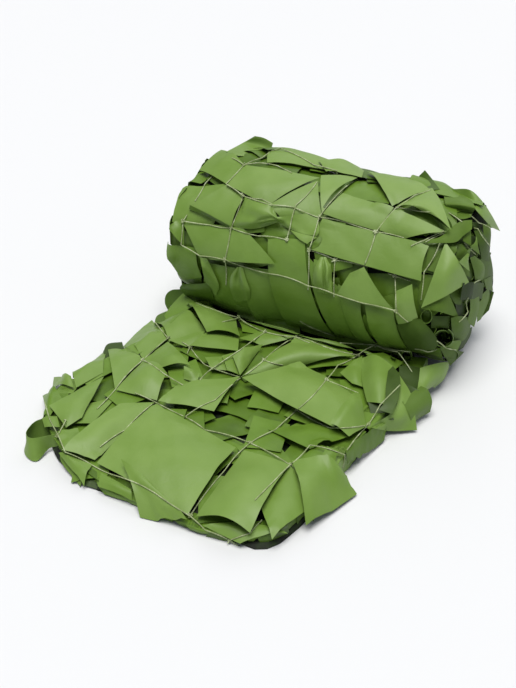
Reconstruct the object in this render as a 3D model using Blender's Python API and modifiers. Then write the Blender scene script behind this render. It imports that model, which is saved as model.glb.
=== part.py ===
"""A camouflage net: knotted twine netting folded in four lengthwise and wound into a roll, with its
loose end laid out in front, and the film strips tied over it.

The origin is the middle of the roll's flat spot, on the surface that it lies on. +X runs along the
roll to the end that shows, the loose end lies toward -Y, and +Z is up. Lengths are in metres.
"""

import math

import bmesh
import bpy
import numpy as np
from mathutils.bvhtree import BVHTree

# Driving dimensions
ROLL_LENGTH = 0.499
ROLL_OUTER = 0.149  # radius at the bottom, where the loose end leaves the roll
TURN_PITCH = 0.014  # one turn of the four folded layers
AXIS_HEIGHT = 0.142  # less than ROLL_OUTER, which leaves the flat spot
LAYERS = 4
LAYER_GAP = 0.003  # between the folded layers of the loose end
ACROSS = 9  # points across a layer
STRIP_SHEET = 0.0013  # thickness of a film strip's solid
PIECE_GAP = 0.0003
SEAT_GAP = 0.0006  # from a strip to what carries it, measured at points
END_DOME = (0.010, 0.028)  # how far the middle of the left and right end face stands out
END_TILT = 0.008  # how much further the back of the right end face stands out than its front
END_GROOVE = 0.007  # depth of the spiral between turns on an end face
GROOVE_TURNS = 3  # turns of netting from one groove to the next
RIM_ROUND = 0.016

MEAN_RADIUS = 0.142  # radius of the roll's surface coordinates

# The photograph's camera: where it stands and what it sees, so that a strip can be placed by pixel
PICTURE = (516, 688)
PIXELS_PER_METRE = 560.0  # at the roll's axis
CAMERA_AWAY = 1.9
CAMERA_AZIMUTH = math.radians(28)
CAMERA_ELEVATION = math.radians(33)
AIM = (-0.0165, 0.0, MEAN_RADIUS)
AIM_PIXEL = (322.0, 253.0)

# Loose end, one row a station: where it is, how far it reaches left and right, how thick it lies
LOOSE_END = (
    # y, left, right, height
    (-0.594, -0.085, 0.150, 0.012),
    (-0.583, -0.132, 0.178, 0.018),
    (-0.560, -0.195, 0.192, 0.024),
    (-0.515, -0.262, 0.202, 0.030),
    (-0.460, -0.288, 0.206, 0.034),
    (-0.400, -0.290, 0.205, 0.037),
    (-0.320, -0.258, 0.213, 0.041),
    (-0.200, -0.226, 0.230, 0.044),
    (-0.110, -0.224, 0.230, 0.046),
    (-0.040, -0.222, 0.220, 0.046),
)

# Broad swellings of the roll: where along it, at what angle (0 front, 90 top), how wide, how high
SWELLINGS = (
    # along, degrees, width, spread in degrees, height
    (-0.125, 110, 0.080, 34, 0.020),
    (0.055, 100, 0.110, 30, 0.008),
    (0.180, 95, 0.060, 34, 0.010),
    (-0.240, 70, 0.050, 50, -0.013),
    (-0.200, 20, 0.060, 40, -0.002),
    (0.090, 5, 0.120, 32, 0.005),
    (-0.040, 205, 0.120, 36, 0.009),
)

# Film strips tied over the roll, lower ones first: four corners in the photograph, how far each
# corner stands off what is under it, and how far the middle bows up, in millimetres
ROLL_STRIPS = (
    # name, corner, corner, corner, corner, corner lifts, crown
    ("band_1", (206, 262), (236, 268), (257, 311), (212, 299), (0, 0, 0, 0), 3),
    ("band_2", (239, 265), (274, 270), (295, 319), (261, 312), (0, 0, 0, 0), 3),
    ("band_3", (278, 258), (304, 252), (334, 330), (299, 321), (0, 0, 0, 0), 3),
    ("band_4", (308, 256), (342, 290), (356, 335), (336, 330), (0, 0, 0, 0), 2),
    ("band_5", (338, 284), (361, 300), (377, 340), (357, 335), (0, 0, 0, 0), 2),
    ("band_6", (366, 296), (393, 306), (410, 349), (382, 341), (0, 0, 0, 0), 3),
    ("left_under", (183, 188), (228, 184), (214, 224), (172, 222), (0, 0, 0, 2), 2),
    ("left_leaf", (166, 241), (196, 250), (204, 278), (182, 281), (4, 0, 0, 3), 2),
    ("left_field", (182, 221), (243, 228), (275, 264), (200, 258), (0, 0, 2, 0), 0),
    ("dark_edge", (192, 206), (228, 184), (246, 197), (231, 227), (3, 0, 0, 3), 0),
    ("crest_far", (226, 151), (256, 136), (273, 142), (263, 157), (4, 8, 7, 3), 5),
    ("horn", (199, 170), (221, 150), (244, 165), (226, 184), (8, 6, 0, 0), 2),
    ("crest_near", (270, 149), (347, 166), (337, 172), (267, 163), (0, 2, 0, 0), 3),
    ("upper_field", (244, 165), (320, 178), (268, 206), (226, 184), (0, 0, 3, 0), 3),
    ("slant", (268, 206), (318, 181), (321, 215), (290, 210), (2, 0, 0, 0), 0),
    ("bow_left", (246, 199), (272, 204), (279, 220), (241, 227), (0, 2, 3, 0), 7),
    ("fan", (321, 176), (358, 178), (341, 194), (322, 213), (0, 4, 0, 0), 2),
    ("spike", (414, 181), (425, 171), (440, 190), (428, 191), (2, 8, 0, 0), 0),
    ("crest_mid", (318, 161), (365, 171), (362, 178), (326, 173), (0, 2, 0, 0), 2),
    ("top_long", (367, 172), (415, 178), (431, 191), (392, 206), (0, 2, 0, 3), 4),
    ("middle", (323, 214), (343, 194), (394, 208), (377, 231), (0, 0, 0, 0), 2),
    ("right_low", (378, 230), (397, 209), (447, 232), (404, 239), (0, 0, 4, 0), 2),
    ("right_peak", (396, 207), (432, 189), (451, 230), (424, 212), (2, 0, 8, 7), 3),
    ("long_field", (323, 219), (429, 246), (421, 281), (312, 250), (2, 0, 3, 0), 0),
    ("wedge", (357, 266), (374, 272), (394, 310), (346, 296), (0, 0, 4, 2), 2),
    ("bunch", (314, 259), (331, 264), (333, 295), (316, 289), (0, 0, 0, 0), 9),
    ("side_leaf", (396, 291), (412, 284), (418, 318), (398, 324), (3, 4, 5, 3), 4),
    ("end_bulge", (398, 325), (419, 319), (438, 338), (409, 350), (0, 3, 8, 2), 9),
    ("top_right", (441, 192), (469, 191), (499, 230), (470, 221), (2, 2, 6, 4), 4),
)

# Film strips that stand out of the turns and lie on the end face that shows, in the same way
END_STRIPS = (
    # name, corner, corner, corner, corner, corner lifts, crown
    ("end_upper", (454, 243), (468, 250), (469, 271), (458, 262), (0, 2, 2, 0), 2),
    ("end_outer", (470, 295), (481, 297), (475, 326), (467, 322), (1, 3, 2, 0), 2),
    ("end_middle", (451, 318), (470, 317), (469, 329), (456, 339), (0, 3, 4, 1), 3),
    ("end_lower", (430, 303), (449, 295), (459, 317), (421, 309), (1, 2, 7, 2), 3),
    ("end_leaf", (445, 243), (469, 281), (463, 287), (421, 308), (4, 6, 6, 2), 4),
)

# Film strips over the loose end, lower ones first, in the same way
LOOSE_STRIPS = (
    # name, corner, corner, corner, corner, corner lifts, crown
    ("low_front", (203, 524), (246, 512), (288, 536), (240, 548), (6, 12, 1, 1), 8),
    ("nip", (240, 318), (346, 340), (350, 354), (242, 332), (0, 0, 2, 2), 3),
    ("rear_curl", (160, 316), (167, 291), (195, 298), (190, 319), (2, 16, 9, 0), 5),
    ("rear_left", (157, 324), (190, 313), (206, 331), (169, 342), (2, 3, 3, 0), 5),
    ("edge_left", (123, 347), (152, 320), (167, 340), (143, 360), (2, 2, 0, 0), 4),
    ("shoulder", (108, 350), (129, 353), (143, 360), (115, 390), (4, 2, 0, 0), 4),
    ("arrow", (195, 303), (236, 320), (238, 352), (192, 346), (9, 4, 6, 2), 5),
    ("crumple", (144, 360), (168, 342), (190, 366), (162, 370), (0, 0, 9, 7), 7),
    ("arched", (116, 390), (144, 361), (167, 370), (157, 401), (2, 0, 6, 3), 12),
    ("mid_left", (158, 402), (176, 386), (240, 377), (214, 412), (0, 4, 0, 3), 5),
    ("slit_leaf", (243, 376), (296, 338), (356, 356), (301, 367), (0, 6, 6, 2), 10),
    ("block", (49, 406), (104, 376), (82, 418), (66, 428), (4, 5, 3, 2), 8),
    ("left_loop", (29, 429), (76, 430), (82, 448), (38, 461), (10, 4, 0, 3), 5),
    ("band_low", (62, 450), (120, 404), (154, 403), (95, 462), (2, 6, 0, 0), 7),
    ("band_wide", (92, 464), (155, 405), (236, 448), (188, 515), (3, 2, 5, 0), 9),
    ("front_leaf", (126, 470), (156, 494), (186, 519), (138, 516), (8, 2, 1, 1), 5),
    ("centre", (242, 378), (300, 367), (362, 400), (334, 428), (0, 4, 8, 9), 13),
    ("front_wide", (196, 518), (244, 449), (290, 466), (250, 533), (1, 3, 2, 9), 9),
    ("front_right", (292, 462), (342, 468), (357, 494), (306, 522), (4, 6, 3, 2), 8),
    ("stand_leaf", (364, 361), (394, 374), (384, 413), (367, 402), (8, 8, 8, 4), 14),
    ("side_loop", (402, 366), (446, 358), (432, 388), (398, 392), (6, 10, 3, 4), 9),
    ("point_right", (394, 377), (432, 409), (413, 430), (373, 427), (6, 4, 1, 3), 6),
)

# Strips across the back of the roll, out of the photograph's sight: real places
BACK_STRIPS = (
    # name, along, around from the front, turned, length
    ("back_1", -0.155, 0.372, 20, 0.150),
    ("back_2", -0.010, 0.392, -14, 0.170),
    ("back_3", 0.100, 0.476, 18, 0.160),
)
STRIP_WIDTH = 0.060
PLACED_CROWN = 0.002

CELL = 0.022  # side of a strip's facets
MOST_CELLS = 7

GREEN = (0.150, 0.260, 0.072, 1.0)
NET_GREEN = (0.070, 0.115, 0.035, 1.0)

MM = 0.001


def camera_axes():
    """Where the camera stands, and its right, up and backward directions."""
    away, rise = CAMERA_AZIMUTH, CAMERA_ELEVATION
    back = np.array([math.sin(away) * math.cos(rise), -math.cos(away) * math.cos(rise), math.sin(rise)])
    right = np.array([math.cos(away), math.sin(away), 0.0])
    up = np.cross(back, right)
    focal = PIXELS_PER_METRE * CAMERA_AWAY
    aside = (AIM_PIXEL[0] - PICTURE[0] / 2) / focal * CAMERA_AWAY
    below = (AIM_PIXEL[1] - PICTURE[1] / 2) / focal * CAMERA_AWAY
    place = np.array(AIM) + back * CAMERA_AWAY - right * aside + up * below
    return place, right, up, back, focal


def ray_through(pixel):
    place, right, up, back, focal = camera_axes()
    across = (pixel[0] - PICTURE[0] / 2) / focal
    down = (pixel[1] - PICTURE[1] / 2) / focal
    way = right * across - up * down - back
    return place, way / np.linalg.norm(way)


def roll_radius(along, angle):
    """Radius of the wound netting. One turn runs from the bottom over the back, top and front."""
    wound = (1.5 * math.pi - angle) % (2 * math.pi) / (2 * math.pi)
    radius = ROLL_OUTER - TURN_PITCH * wound
    for place, degrees, width, spread, height in SWELLINGS:
        off = (angle - math.radians(degrees) + math.pi) % (2 * math.pi) - math.pi
        radius = radius + height * np.exp(-(((along - place) / width) ** 2)) * np.exp(
            -((off / math.radians(spread)) ** 2)
        )
    radius = radius + 0.0025 * np.sin(19 * along + 2 * angle) + 0.0018 * np.sin(47 * along - 3 * angle + 1.1)
    into_rim = np.clip((np.abs(along) - ROLL_LENGTH / 2 + RIM_ROUND) / RIM_ROUND, 0, 1)
    return radius - 0.010 * into_rim**2


def ripple(x, y):
    """The loose end's uneven lie, as a part of its height."""
    return 1 + 0.10 * np.sin(24 * x + 9 * y) + 0.07 * np.sin(41 * x - 17 * y + 0.8)


class Surface:
    """A height map over a surface with two metric coordinates, which strips are laid on in turn."""

    STEP = 0.003
    lowest = -0.03  # how low a strip may hang

    def __init__(self, low, high):
        self.low = np.array(low)
        steps = np.ceil((np.array(high) - self.low) / self.STEP).astype(int) + 1
        a, b = [self.low[i] + self.STEP * np.arange(steps[i]) for i in (0, 1)]
        self.height = self.ground(*np.meshgrid(a, b, indexing="ij"))

    def cells(self, a, b):
        a = np.rint((np.asarray(a) - self.low[0]) / self.STEP).astype(int)
        b = np.rint((np.asarray(b) - self.low[1]) / self.STEP).astype(int)
        return np.clip(a, 0, self.height.shape[0] - 1), np.clip(b, 0, self.height.shape[1] - 1)

    def top(self, a, b, reach=1):
        """The highest thing laid so far within a few cells of each place."""
        i, j = self.cells(a, b)
        found = np.full(i.shape, -np.inf)
        for di in range(-reach, reach + 1):
            for dj in range(-reach, reach + 1):
                ii = np.clip(i + di, 0, self.height.shape[0] - 1)
                jj = np.clip(j + dj, 0, self.height.shape[1] - 1)
                found = np.maximum(found, self.height[ii, jj])
        return found


class RollSurface(Surface):
    """Coordinates: along the axis, and around from the front over the top, at MEAN_RADIUS."""

    margin = 0.0011

    def __init__(self):
        super().__init__((-0.31, -0.5 * math.pi * MEAN_RADIUS), (0.31, 1.5 * math.pi * MEAN_RADIUS))

    def ground(self, a, b):
        inside = np.abs(a) <= ROLL_LENGTH / 2 + 0.002
        return np.where(inside, roll_radius(a, b / MEAN_RADIUS) - MEAN_RADIUS, -0.030)

    def point(self, a, b, height):
        angle = b / MEAN_RADIUS
        radius = MEAN_RADIUS + height
        return np.stack([a, -radius * np.cos(angle), AXIS_HEIGHT + radius * np.sin(angle)], axis=-1)

    def cross(self, ray, height):
        """Where a ray meets the surface at this height. A ray that passes by sets its own height."""
        place, way = ray
        start = np.array([place[1], place[2] - AXIS_HEIGHT])
        run = way[1:]
        nearest = -(start @ run) / (run @ run)
        miss = np.linalg.norm(start + nearest * run)
        radius = MEAN_RADIUS + height
        back_off = math.sqrt(max(0.0, radius**2 - miss**2) / (run @ run))
        hit = place + way * (nearest - back_off)
        angle = math.atan2(hit[2] - AXIS_HEIGHT, -hit[1])
        return hit[0], angle * MEAN_RADIUS, max(height, miss - MEAN_RADIUS)


class EndSurface(Surface):
    """Coordinates: y and z over the right end face. Heights run along +X."""

    margin = 0.0010

    def __init__(self):
        super().__init__((-0.20, -0.02), (0.20, 0.36))

    def ground(self, a, b):
        part = np.hypot(a, b - AXIS_HEIGHT) / ROLL_OUTER
        tilt = END_TILT * (0.5 + 0.5 * a / ROLL_OUTER)
        return np.where(part < 1, END_DOME[1] * (1 - part**2) + tilt, -0.030)

    def point(self, a, b, height):
        return np.stack([ROLL_LENGTH / 2 + height, a, b], axis=-1)

    def cross(self, ray, height):
        place, way = ray
        hit = place + way * (ROLL_LENGTH / 2 + height - place[0]) / way[0]
        return hit[1], hit[2], height


class LooseSurface(Surface):
    """Coordinates: x and y over the floor."""

    margin = 0.0007
    OVERHANG = 0.007
    lowest = 0.0012
    REAR = -0.131  # strips stop short of the roll

    def __init__(self):
        super().__init__((-0.36, -0.70), (0.36, -0.06))

    def ground(self, a, b):
        """The top layer as it is lofted: straight from point to point, and from station to station."""
        ys, lefts, rights, _ = zip(*LOOSE_END)
        left, right = np.interp(b, ys, lefts), np.interp(b, ys, rights)
        part = (a - left) / (right - left)
        points = np.linspace(0, 1, ACROSS)
        levels = [
            np.interp(part, points, high * ripple(np.linspace(start, end, ACROSS), y))
            for y, start, end, high in LOOSE_END
        ]
        station = np.interp(b, ys, range(len(ys)))
        before = np.minimum(station.astype(int), len(ys) - 2)
        levels = np.array(levels)
        here = np.take_along_axis(levels, before[None], 0)[0]
        following = np.take_along_axis(levels, before[None] + 1, 0)[0]
        level = here + (following - here) * (station - before)
        inside = (a > left - self.OVERHANG) & (a < right + self.OVERHANG) & (b > ys[0] - self.OVERHANG)
        return np.where(inside, level, 0.0)

    def point(self, a, b, height):
        return np.stack([a, b, height], axis=-1)

    def cross(self, ray, height):
        place, way = ray
        hit = place + way * (height - place[2]) / way[2]
        past_roll = max(0.0, abs(hit[0]) - ROLL_LENGTH / 2)
        return hit[0], min(hit[1], self.REAR + 1.5 * past_roll), height


def spread_over(corners, u, v):
    """Four corner values, in ring order, spread over a grid."""
    c = np.asarray(corners, float)
    return c[0] * (1 - u) * (1 - v) + c[1] * u * (1 - v) + c[2] * u * v + c[3] * (1 - u) * v


def smoothed(height):
    """Each height moved toward the mean of its neighbours, as the film's stiffness does."""
    padded = np.pad(height, 1, mode="reflect", reflect_type="odd")
    flat = (padded[2:, 1:-1] + padded[:-2, 1:-1] + padded[1:-1, 2:] + padded[1:-1, :-2]) / 4
    return 0.4 * height + 0.6 * flat


def settle(surface, a, b, lift):
    """Heights of a stiff film laid over the surface: it rests on what is highest and bridges hollows."""
    clear = STRIP_SHEET / 2 + PIECE_GAP + surface.margin
    need = surface.top(a, b) + clear
    height = need.copy()
    for _ in range(30):
        height = np.maximum(need, smoothed(height))
    height = height + lift
    fine = 6
    for _ in range(40):
        fa, fb, fh = [refine(values, fine) for values in (a, b, height)]
        short = surface.top(fa, fb) + clear - fh
        if short.max() < 1e-5:
            break
        raised = np.zeros_like(height)
        for i, j in zip(*np.nonzero(short > 0)):
            ci, cj = min(i // fine, height.shape[0] - 2), min(j // fine, height.shape[1] - 2)
            cell = raised[ci : ci + 2, cj : cj + 2]
            np.maximum(cell, short[i, j], out=cell)
        height = height + raised
    for _ in range(8):
        height = np.maximum(height, smoothed(height))
    return height


def refine(values, times):
    """A grid with each cell cut into times x times, its values those of the cell's two triangles."""
    rows = np.linspace(0, values.shape[0] - 1, (values.shape[0] - 1) * times + 1)
    columns = np.linspace(0, values.shape[1] - 1, (values.shape[1] - 1) * times + 1)
    i = np.minimum(rows.astype(int), values.shape[0] - 2)
    j = np.minimum(columns.astype(int), values.shape[1] - 2)
    fi, fj = (rows - i)[:, None], (columns - j)[None, :]
    low, high = values[i], values[i + 1]
    first, second = high[:, j] - low[:, j], high[:, j + 1] - high[:, j]
    over, beside = low[:, j + 1] - low[:, j], high[:, j + 1] - low[:, j + 1]
    return low[:, j] + np.where(fi >= fj, fi * first + fj * second, fj * over + fi * beside)


def triangles(rows, columns, vertex):
    """The two triangles of each cell of a grid, as refine() takes them."""
    for i in range(rows - 1):
        for j in range(columns - 1):
            yield vertex(i, j), vertex(i + 1, j), vertex(i + 1, j + 1)
            yield vertex(i, j), vertex(i + 1, j + 1), vertex(i, j + 1)


def strip_grid(corners, lifts, crown):
    """Places and lifts over a four-sided strip whose corners are given in ring order."""
    sides = (math.dist(corners[0], corners[1]), math.dist(corners[1], corners[2]))
    rows, columns = [max(2, min(MOST_CELLS, round(side / CELL))) for side in sides]
    u, v = np.meshgrid(np.linspace(0, 1, rows + 1), np.linspace(0, 1, columns + 1), indexing="ij")
    a, b = [spread_over([corner[axis] for corner in corners], u, v) for axis in (0, 1)]
    return a, b, spread_over(lifts, u, v) + crown * np.sin(math.pi * u) * np.sin(math.pi * v)


class Pile:
    """What has been built so far, to measure the gap between it and a strip."""

    NEAR = 0.012
    EDGE_POINTS = 7

    def __init__(self):
        self.pieces = []

    def add(self, piece):
        """Keeps the piece as its modifiers leave it."""
        bpy.context.view_layer.update()
        graph = bpy.context.evaluated_depsgraph_get()
        tree = BVHTree.FromObject(piece, graph)
        mesh = piece.evaluated_get(graph).to_mesh()
        verts = np.array([vert.co[:] for vert in mesh.vertices])
        ends = verts[np.array([edge.vertices[:] for edge in mesh.edges])]
        along = np.linspace(0, 1, self.EDGE_POINTS)[:, None, None]
        self.pieces.append((tree, (ends[:, 0] * (1 - along) + ends[:, 1] * along).reshape(-1, 3)))

    def gap(self, points):
        """The least distance between a strip's sheet and the pile."""
        fine = np.stack([refine(points[..., axis], 7) for axis in range(3)], axis=-1).reshape(-1, 3)
        low, high = fine.min(0) - self.NEAR, fine.max(0) + self.NEAR
        rows, columns = points.shape[:2]
        faces = list(triangles(rows, columns, lambda i, j: i * columns + j))
        sheet = BVHTree.FromPolygons([tuple(point) for point in points.reshape(-1, 3)], faces)
        least = self.NEAR
        for tree, verts in self.pieces:
            if (verts.max(0) < low).any() or (verts.min(0) > high).any():
                continue
            for point in fine:
                least = min(least, tree.find_nearest(point, least)[3] or least)
            for vert in verts[((verts > low) & (verts < high)).all(1)]:
                least = min(least, sheet.find_nearest(vert, least)[3] or least)
        return least - STRIP_SHEET / 2


def seat(surface, a, b, height, pile):
    """Lowers or raises a strip until it all but touches what carries it."""
    for _ in range(10):
        gap = pile.gap(surface.point(a, b, height))
        if abs(gap - SEAT_GAP) < 0.00005:
            break
        height = np.maximum(height - 0.9 * (gap - SEAT_GAP), surface.lowest)
    return height


def lay_strip(surface, corners, lifts, crown, pile):
    """Lays a strip with these corners, and marks what it covers. Returns its points."""
    a, b, lift = strip_grid(corners, lifts, crown)
    height = seat(surface, a, b, settle(surface, a, b, lift), pile)
    fa, fb, fh = [refine(values, 9) for values in (a, b, height)]
    for da in (-surface.STEP, 0, surface.STEP):
        for db in (-surface.STEP, 0, surface.STEP):
            np.maximum.at(surface.height, surface.cells(fa + da, fb + db), fh + STRIP_SHEET / 2)
    return surface.point(a, b, height)


def find_corners(surface, pixels, lifts, crown):
    """Corners on the surface that the camera sees at these pixels, once the strip has settled."""
    rays = [ray_through(pixel) for pixel in pixels]
    lifts, heights = list(lifts), [0.01] * 4
    for _ in range(6):
        found = [surface.cross(ray, height) for ray, height in zip(rays, heights)]
        a, b, lift = strip_grid([spot[:2] for spot in found], lifts, crown)
        settled = settle(surface, a, b, lift)
        for k, (i, j) in enumerate(((0, 0), (-1, 0), (-1, -1), (0, -1))):
            heights[k] = 0.5 * (heights[k] + settled[i, j])
            lifts[k] = max(lifts[k], lifts[k] + surface.cross(rays[k], settled[i, j])[2] - settled[i, j])
    return [spot[:2] for spot in found], lifts


def material(name, colour, roughness):
    made = bpy.data.materials.new(name)
    made.use_nodes = True
    shader = made.node_tree.nodes["Principled BSDF"]
    shader.inputs["Base Color"].default_value = colour
    shader.inputs["Roughness"].default_value = roughness
    return made


def add_object(name, bm, group, finish):
    mesh = bpy.data.meshes.new(name)
    bm.to_mesh(mesh)
    bm.free()
    mesh.materials.append(finish)
    made = bpy.data.objects.new(name, mesh)
    group.objects.link(made)
    return made


def strip_object(name, points, group, finish):
    """An open grid of points, thickened to the film's sheet."""
    bm = bmesh.new()
    rows, columns = points.shape[:2]
    verts = [[bm.verts.new(points[i, j]) for j in range(columns)] for i in range(rows)]
    for corners in triangles(rows, columns, lambda i, j: verts[i][j]):
        bm.faces.new(corners)
    made = add_object(name, bm, group, finish)
    shell = made.modifiers.new("Sheet", "SOLIDIFY")
    shell.thickness = STRIP_SHEET
    shell.offset = 0
    return made


def wound_roll(group, finish):
    """The wound netting: a loft along the axis, with a spiral groove on each domed end face."""
    around, stations, rings = 44, 16, 12
    angles = [2 * math.pi * k / around for k in range(around)]
    half = ROLL_LENGTH / 2
    bm = bmesh.new()

    def ring(x_of, part):
        verts = []
        for angle in angles:
            x, radius = x_of(angle), float(roll_radius(max(-half, min(half, x_of(angle))), angle)) * part
            z = max(0.0, AXIS_HEIGHT + radius * math.sin(angle))
            verts.append(bm.verts.new((x, -radius * math.cos(angle), z)))
        return verts

    def face_x(side, part):
        """How far out the end face is: a dome with a groove between turns."""

        def at(angle):
            turns = part * ROLL_OUTER / (GROOVE_TURNS * TURN_PITCH) + side * angle / (2 * math.pi)
            groove = END_GROOVE * (0.5 + 0.5 * math.cos(2 * math.pi * turns)) * min(1, (1 - part) * 8)
            tilt = END_TILT * (0.5 - 0.5 * part * math.cos(angle)) if side > 0 else 0
            return side * (half + END_DOME[side > 0] * (1 - part**2) + tilt - groove)

        return at

    parts = [1 - k / rings for k in range(1, rings)]
    loops = [ring(face_x(-1, part), part) for part in reversed(parts)]
    loops += [ring(lambda angle, x=-half + ROLL_LENGTH * k / stations: x, 1) for k in range(stations)]
    loops.append(ring(face_x(1, 1), 1))
    loops += [ring(face_x(1, part), part) for part in parts]
    for one, two in zip(loops, loops[1:]):
        for k in range(around):
            after = (k + 1) % around
            bm.faces.new((one[k], two[k], two[after], one[after]))
    bm.faces.new(loops[0])
    bm.faces.new(reversed(loops[-1]))
    bmesh.ops.recalc_face_normals(bm, faces=bm.faces)
    return add_object("netting", bm, group, finish)


def loose_section(y, left, right, height):
    """One ring of the back-and-forth section: four layers, folded right, left and right again."""
    thick = (height - (LAYERS - 1) * LAYER_GAP) / LAYERS
    step = thick + LAYER_GAP
    bend = step / 2

    def run(z, start, end):
        xs = np.linspace(start, end, ACROSS)
        return [(x, y, z * float(ripple(x, y))) for x in xs]

    def round_fold(x, z_from, z_to, side):
        """Two points of an outer fold, which stands out past the layers it joins."""
        return [(x + side * bend, y, z * float(ripple(x, y))) for z in (
            z_from + 0.25 * (z_to - z_from), z_from + 0.75 * (z_to - z_from))]

    bottom = [k * step for k in range(LAYERS)]
    top = [k * step + thick for k in range(LAYERS)]
    inner_left, inner_right = left + thick, right - thick
    ring = run(bottom[0], left, right) + round_fold(right, bottom[0], top[1], 1)
    ring += run(top[1], right, inner_left) + run(bottom[2], inner_left, right)
    ring += round_fold(right, bottom[2], top[3], 1) + run(top[3], right, left)
    ring += run(bottom[3], left, inner_right) + run(top[2], inner_right, left)
    ring += round_fold(left, top[2], bottom[1], -1) + run(bottom[1], left, inner_right)
    ring += run(top[0], inner_right, left)
    return ring


def loose_end(group, finish):
    """The loose end's layers, lofted from its tip to where they run into the roll."""
    bm = bmesh.new()
    rings = [[bm.verts.new(point) for point in loose_section(*row)] for row in LOOSE_END]
    for one, two in zip(rings, rings[1:]):
        for k in range(len(one)):
            after = (k + 1) % len(one)
            bm.faces.new((one[k], two[k], two[after], one[after]))
    bm.faces.new(rings[0])
    bm.faces.new(reversed(rings[-1]))
    bmesh.ops.recalc_face_normals(bm, faces=bm.faces)
    made = add_object("loose_end_layers", bm, group, finish)
    made.hide_render = True
    made.display_type = "WIRE"
    return made


def netting(parts, cutters, finish):
    """Roll and loose end, joined: the net is one piece."""
    roll = wound_roll(parts, finish)
    join = roll.modifiers.new("Loose end", "BOOLEAN")
    join.operation = "UNION"
    join.object = loose_end(cutters, finish)
    return roll


def seen_strips(surface, table, pile, group, finish):
    for name, *pixels, lifts, crown in table:
        lifts = [lift * MM for lift in lifts]
        corners, lifts = find_corners(surface, pixels, lifts, crown * MM)
        points = lay_strip(surface, corners, lifts, crown * MM, pile)
        pile.add(strip_object("strip_" + name, points, group, finish))


def placed_strips(surface, table, pile, group, finish):
    """Strips given by the middle, the turn and the length, on the surface's own coordinates."""
    for name, across, upward, turned, length in table:
        turn = math.radians(turned)
        corners = []
        for side_u, side_v in ((-1, -1), (1, -1), (1, 1), (-1, 1)):
            u, v = side_u * length / 2, side_v * STRIP_WIDTH / 2
            a = across + u * math.cos(turn) - v * math.sin(turn)
            corners.append((a, upward + u * math.sin(turn) + v * math.cos(turn)))
        points = lay_strip(surface, corners, (0, 0, 0, 0), PLACED_CROWN, pile)
        pile.add(strip_object("strip_" + name, points, group, finish))


def build():
    for old in list(bpy.data.objects):
        bpy.data.objects.remove(old)
    parts = bpy.data.collections.new("camouflage_net")
    cutters = bpy.data.collections.new("cutters")
    for group in (parts, cutters):
        bpy.context.scene.collection.children.link(group)
    film = material("green film", GREEN, 0.45)
    twine = material("green twine netting", NET_GREEN, 0.8)
    pile = Pile()
    pile.add(netting(parts, cutters, twine))
    roll = RollSurface()
    seen_strips(roll, ROLL_STRIPS, pile, parts, film)
    placed_strips(roll, BACK_STRIPS, pile, parts, film)
    seen_strips(EndSurface(), END_STRIPS, pile, parts, film)
    seen_strips(LooseSurface(), LOOSE_STRIPS, pile, parts, film)


build()
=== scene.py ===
import math

import bpy
import numpy as np
from mathutils import Matrix
from mathutils.bvhtree import BVHTree


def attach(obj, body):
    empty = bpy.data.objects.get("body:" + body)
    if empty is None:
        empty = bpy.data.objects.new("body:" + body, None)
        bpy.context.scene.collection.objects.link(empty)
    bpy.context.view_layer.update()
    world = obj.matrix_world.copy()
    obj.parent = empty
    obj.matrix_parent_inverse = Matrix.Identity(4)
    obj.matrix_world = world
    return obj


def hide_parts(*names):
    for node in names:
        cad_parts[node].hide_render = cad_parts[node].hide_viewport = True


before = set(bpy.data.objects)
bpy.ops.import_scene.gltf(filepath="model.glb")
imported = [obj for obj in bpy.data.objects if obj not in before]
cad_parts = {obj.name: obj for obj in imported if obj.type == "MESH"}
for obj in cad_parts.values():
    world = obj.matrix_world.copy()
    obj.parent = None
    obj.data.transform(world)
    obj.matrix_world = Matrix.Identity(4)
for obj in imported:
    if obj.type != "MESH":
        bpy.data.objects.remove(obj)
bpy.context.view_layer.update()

MM = 0.001

# ---------------------------------------------------------------- camera
# The photograph's camera: about a metre up in front of the net, turned a little to its right end.
# Film strips and twine are placed by the pixel at which the photograph shows them.
PICTURE = (516, 688)
CAMERA_AWAY = 1.9
AZIMUTH, ELEVATION = math.radians(28), math.radians(33)
PIXELS_A_METRE = 560.0  # at the roll's axis
FOCAL = PIXELS_A_METRE * CAMERA_AWAY
AIM, AIM_PIXEL = (-0.0165, 0.0, 0.142), (322.0, 253.0)
SENSOR = 36.0

BACK = np.array(
    [
        math.sin(AZIMUTH) * math.cos(ELEVATION),
        -math.cos(AZIMUTH) * math.cos(ELEVATION),
        math.sin(ELEVATION),
    ]
)
RIGHT = np.array([math.cos(AZIMUTH), math.sin(AZIMUTH), 0.0])
UP = np.cross(BACK, RIGHT)
EYE = (
    np.array(AIM)
    + BACK * CAMERA_AWAY
    - RIGHT * (AIM_PIXEL[0] - PICTURE[0] / 2) / FOCAL * CAMERA_AWAY
    + UP * (AIM_PIXEL[1] - PICTURE[1] / 2) / FOCAL * CAMERA_AWAY
)


def ray(pixel):
    """From the camera's place, the direction of this pixel."""
    way = (
        RIGHT * (pixel[0] - PICTURE[0] / 2) / FOCAL - UP * (pixel[1] - PICTURE[1] / 2) / FOCAL - BACK
    )
    return way / np.linalg.norm(way)


def into_scene(name, data):
    """A new object with this data, linked to the scene."""
    made = bpy.data.objects.new(name, data)
    bpy.context.scene.collection.objects.link(made)
    return made


lens = bpy.data.cameras.new("camera")
lens.sensor_width = SENSOR
lens.lens = SENSOR * FOCAL / PICTURE[1]
camera = into_scene("camera", lens)
camera.location = EYE
turn = np.array([RIGHT, UP, BACK]).T
camera.rotation_mode = "QUATERNION"
camera.rotation_quaternion = Matrix(turn.tolist()).to_quaternion()
bpy.context.scene.camera = camera


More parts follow.
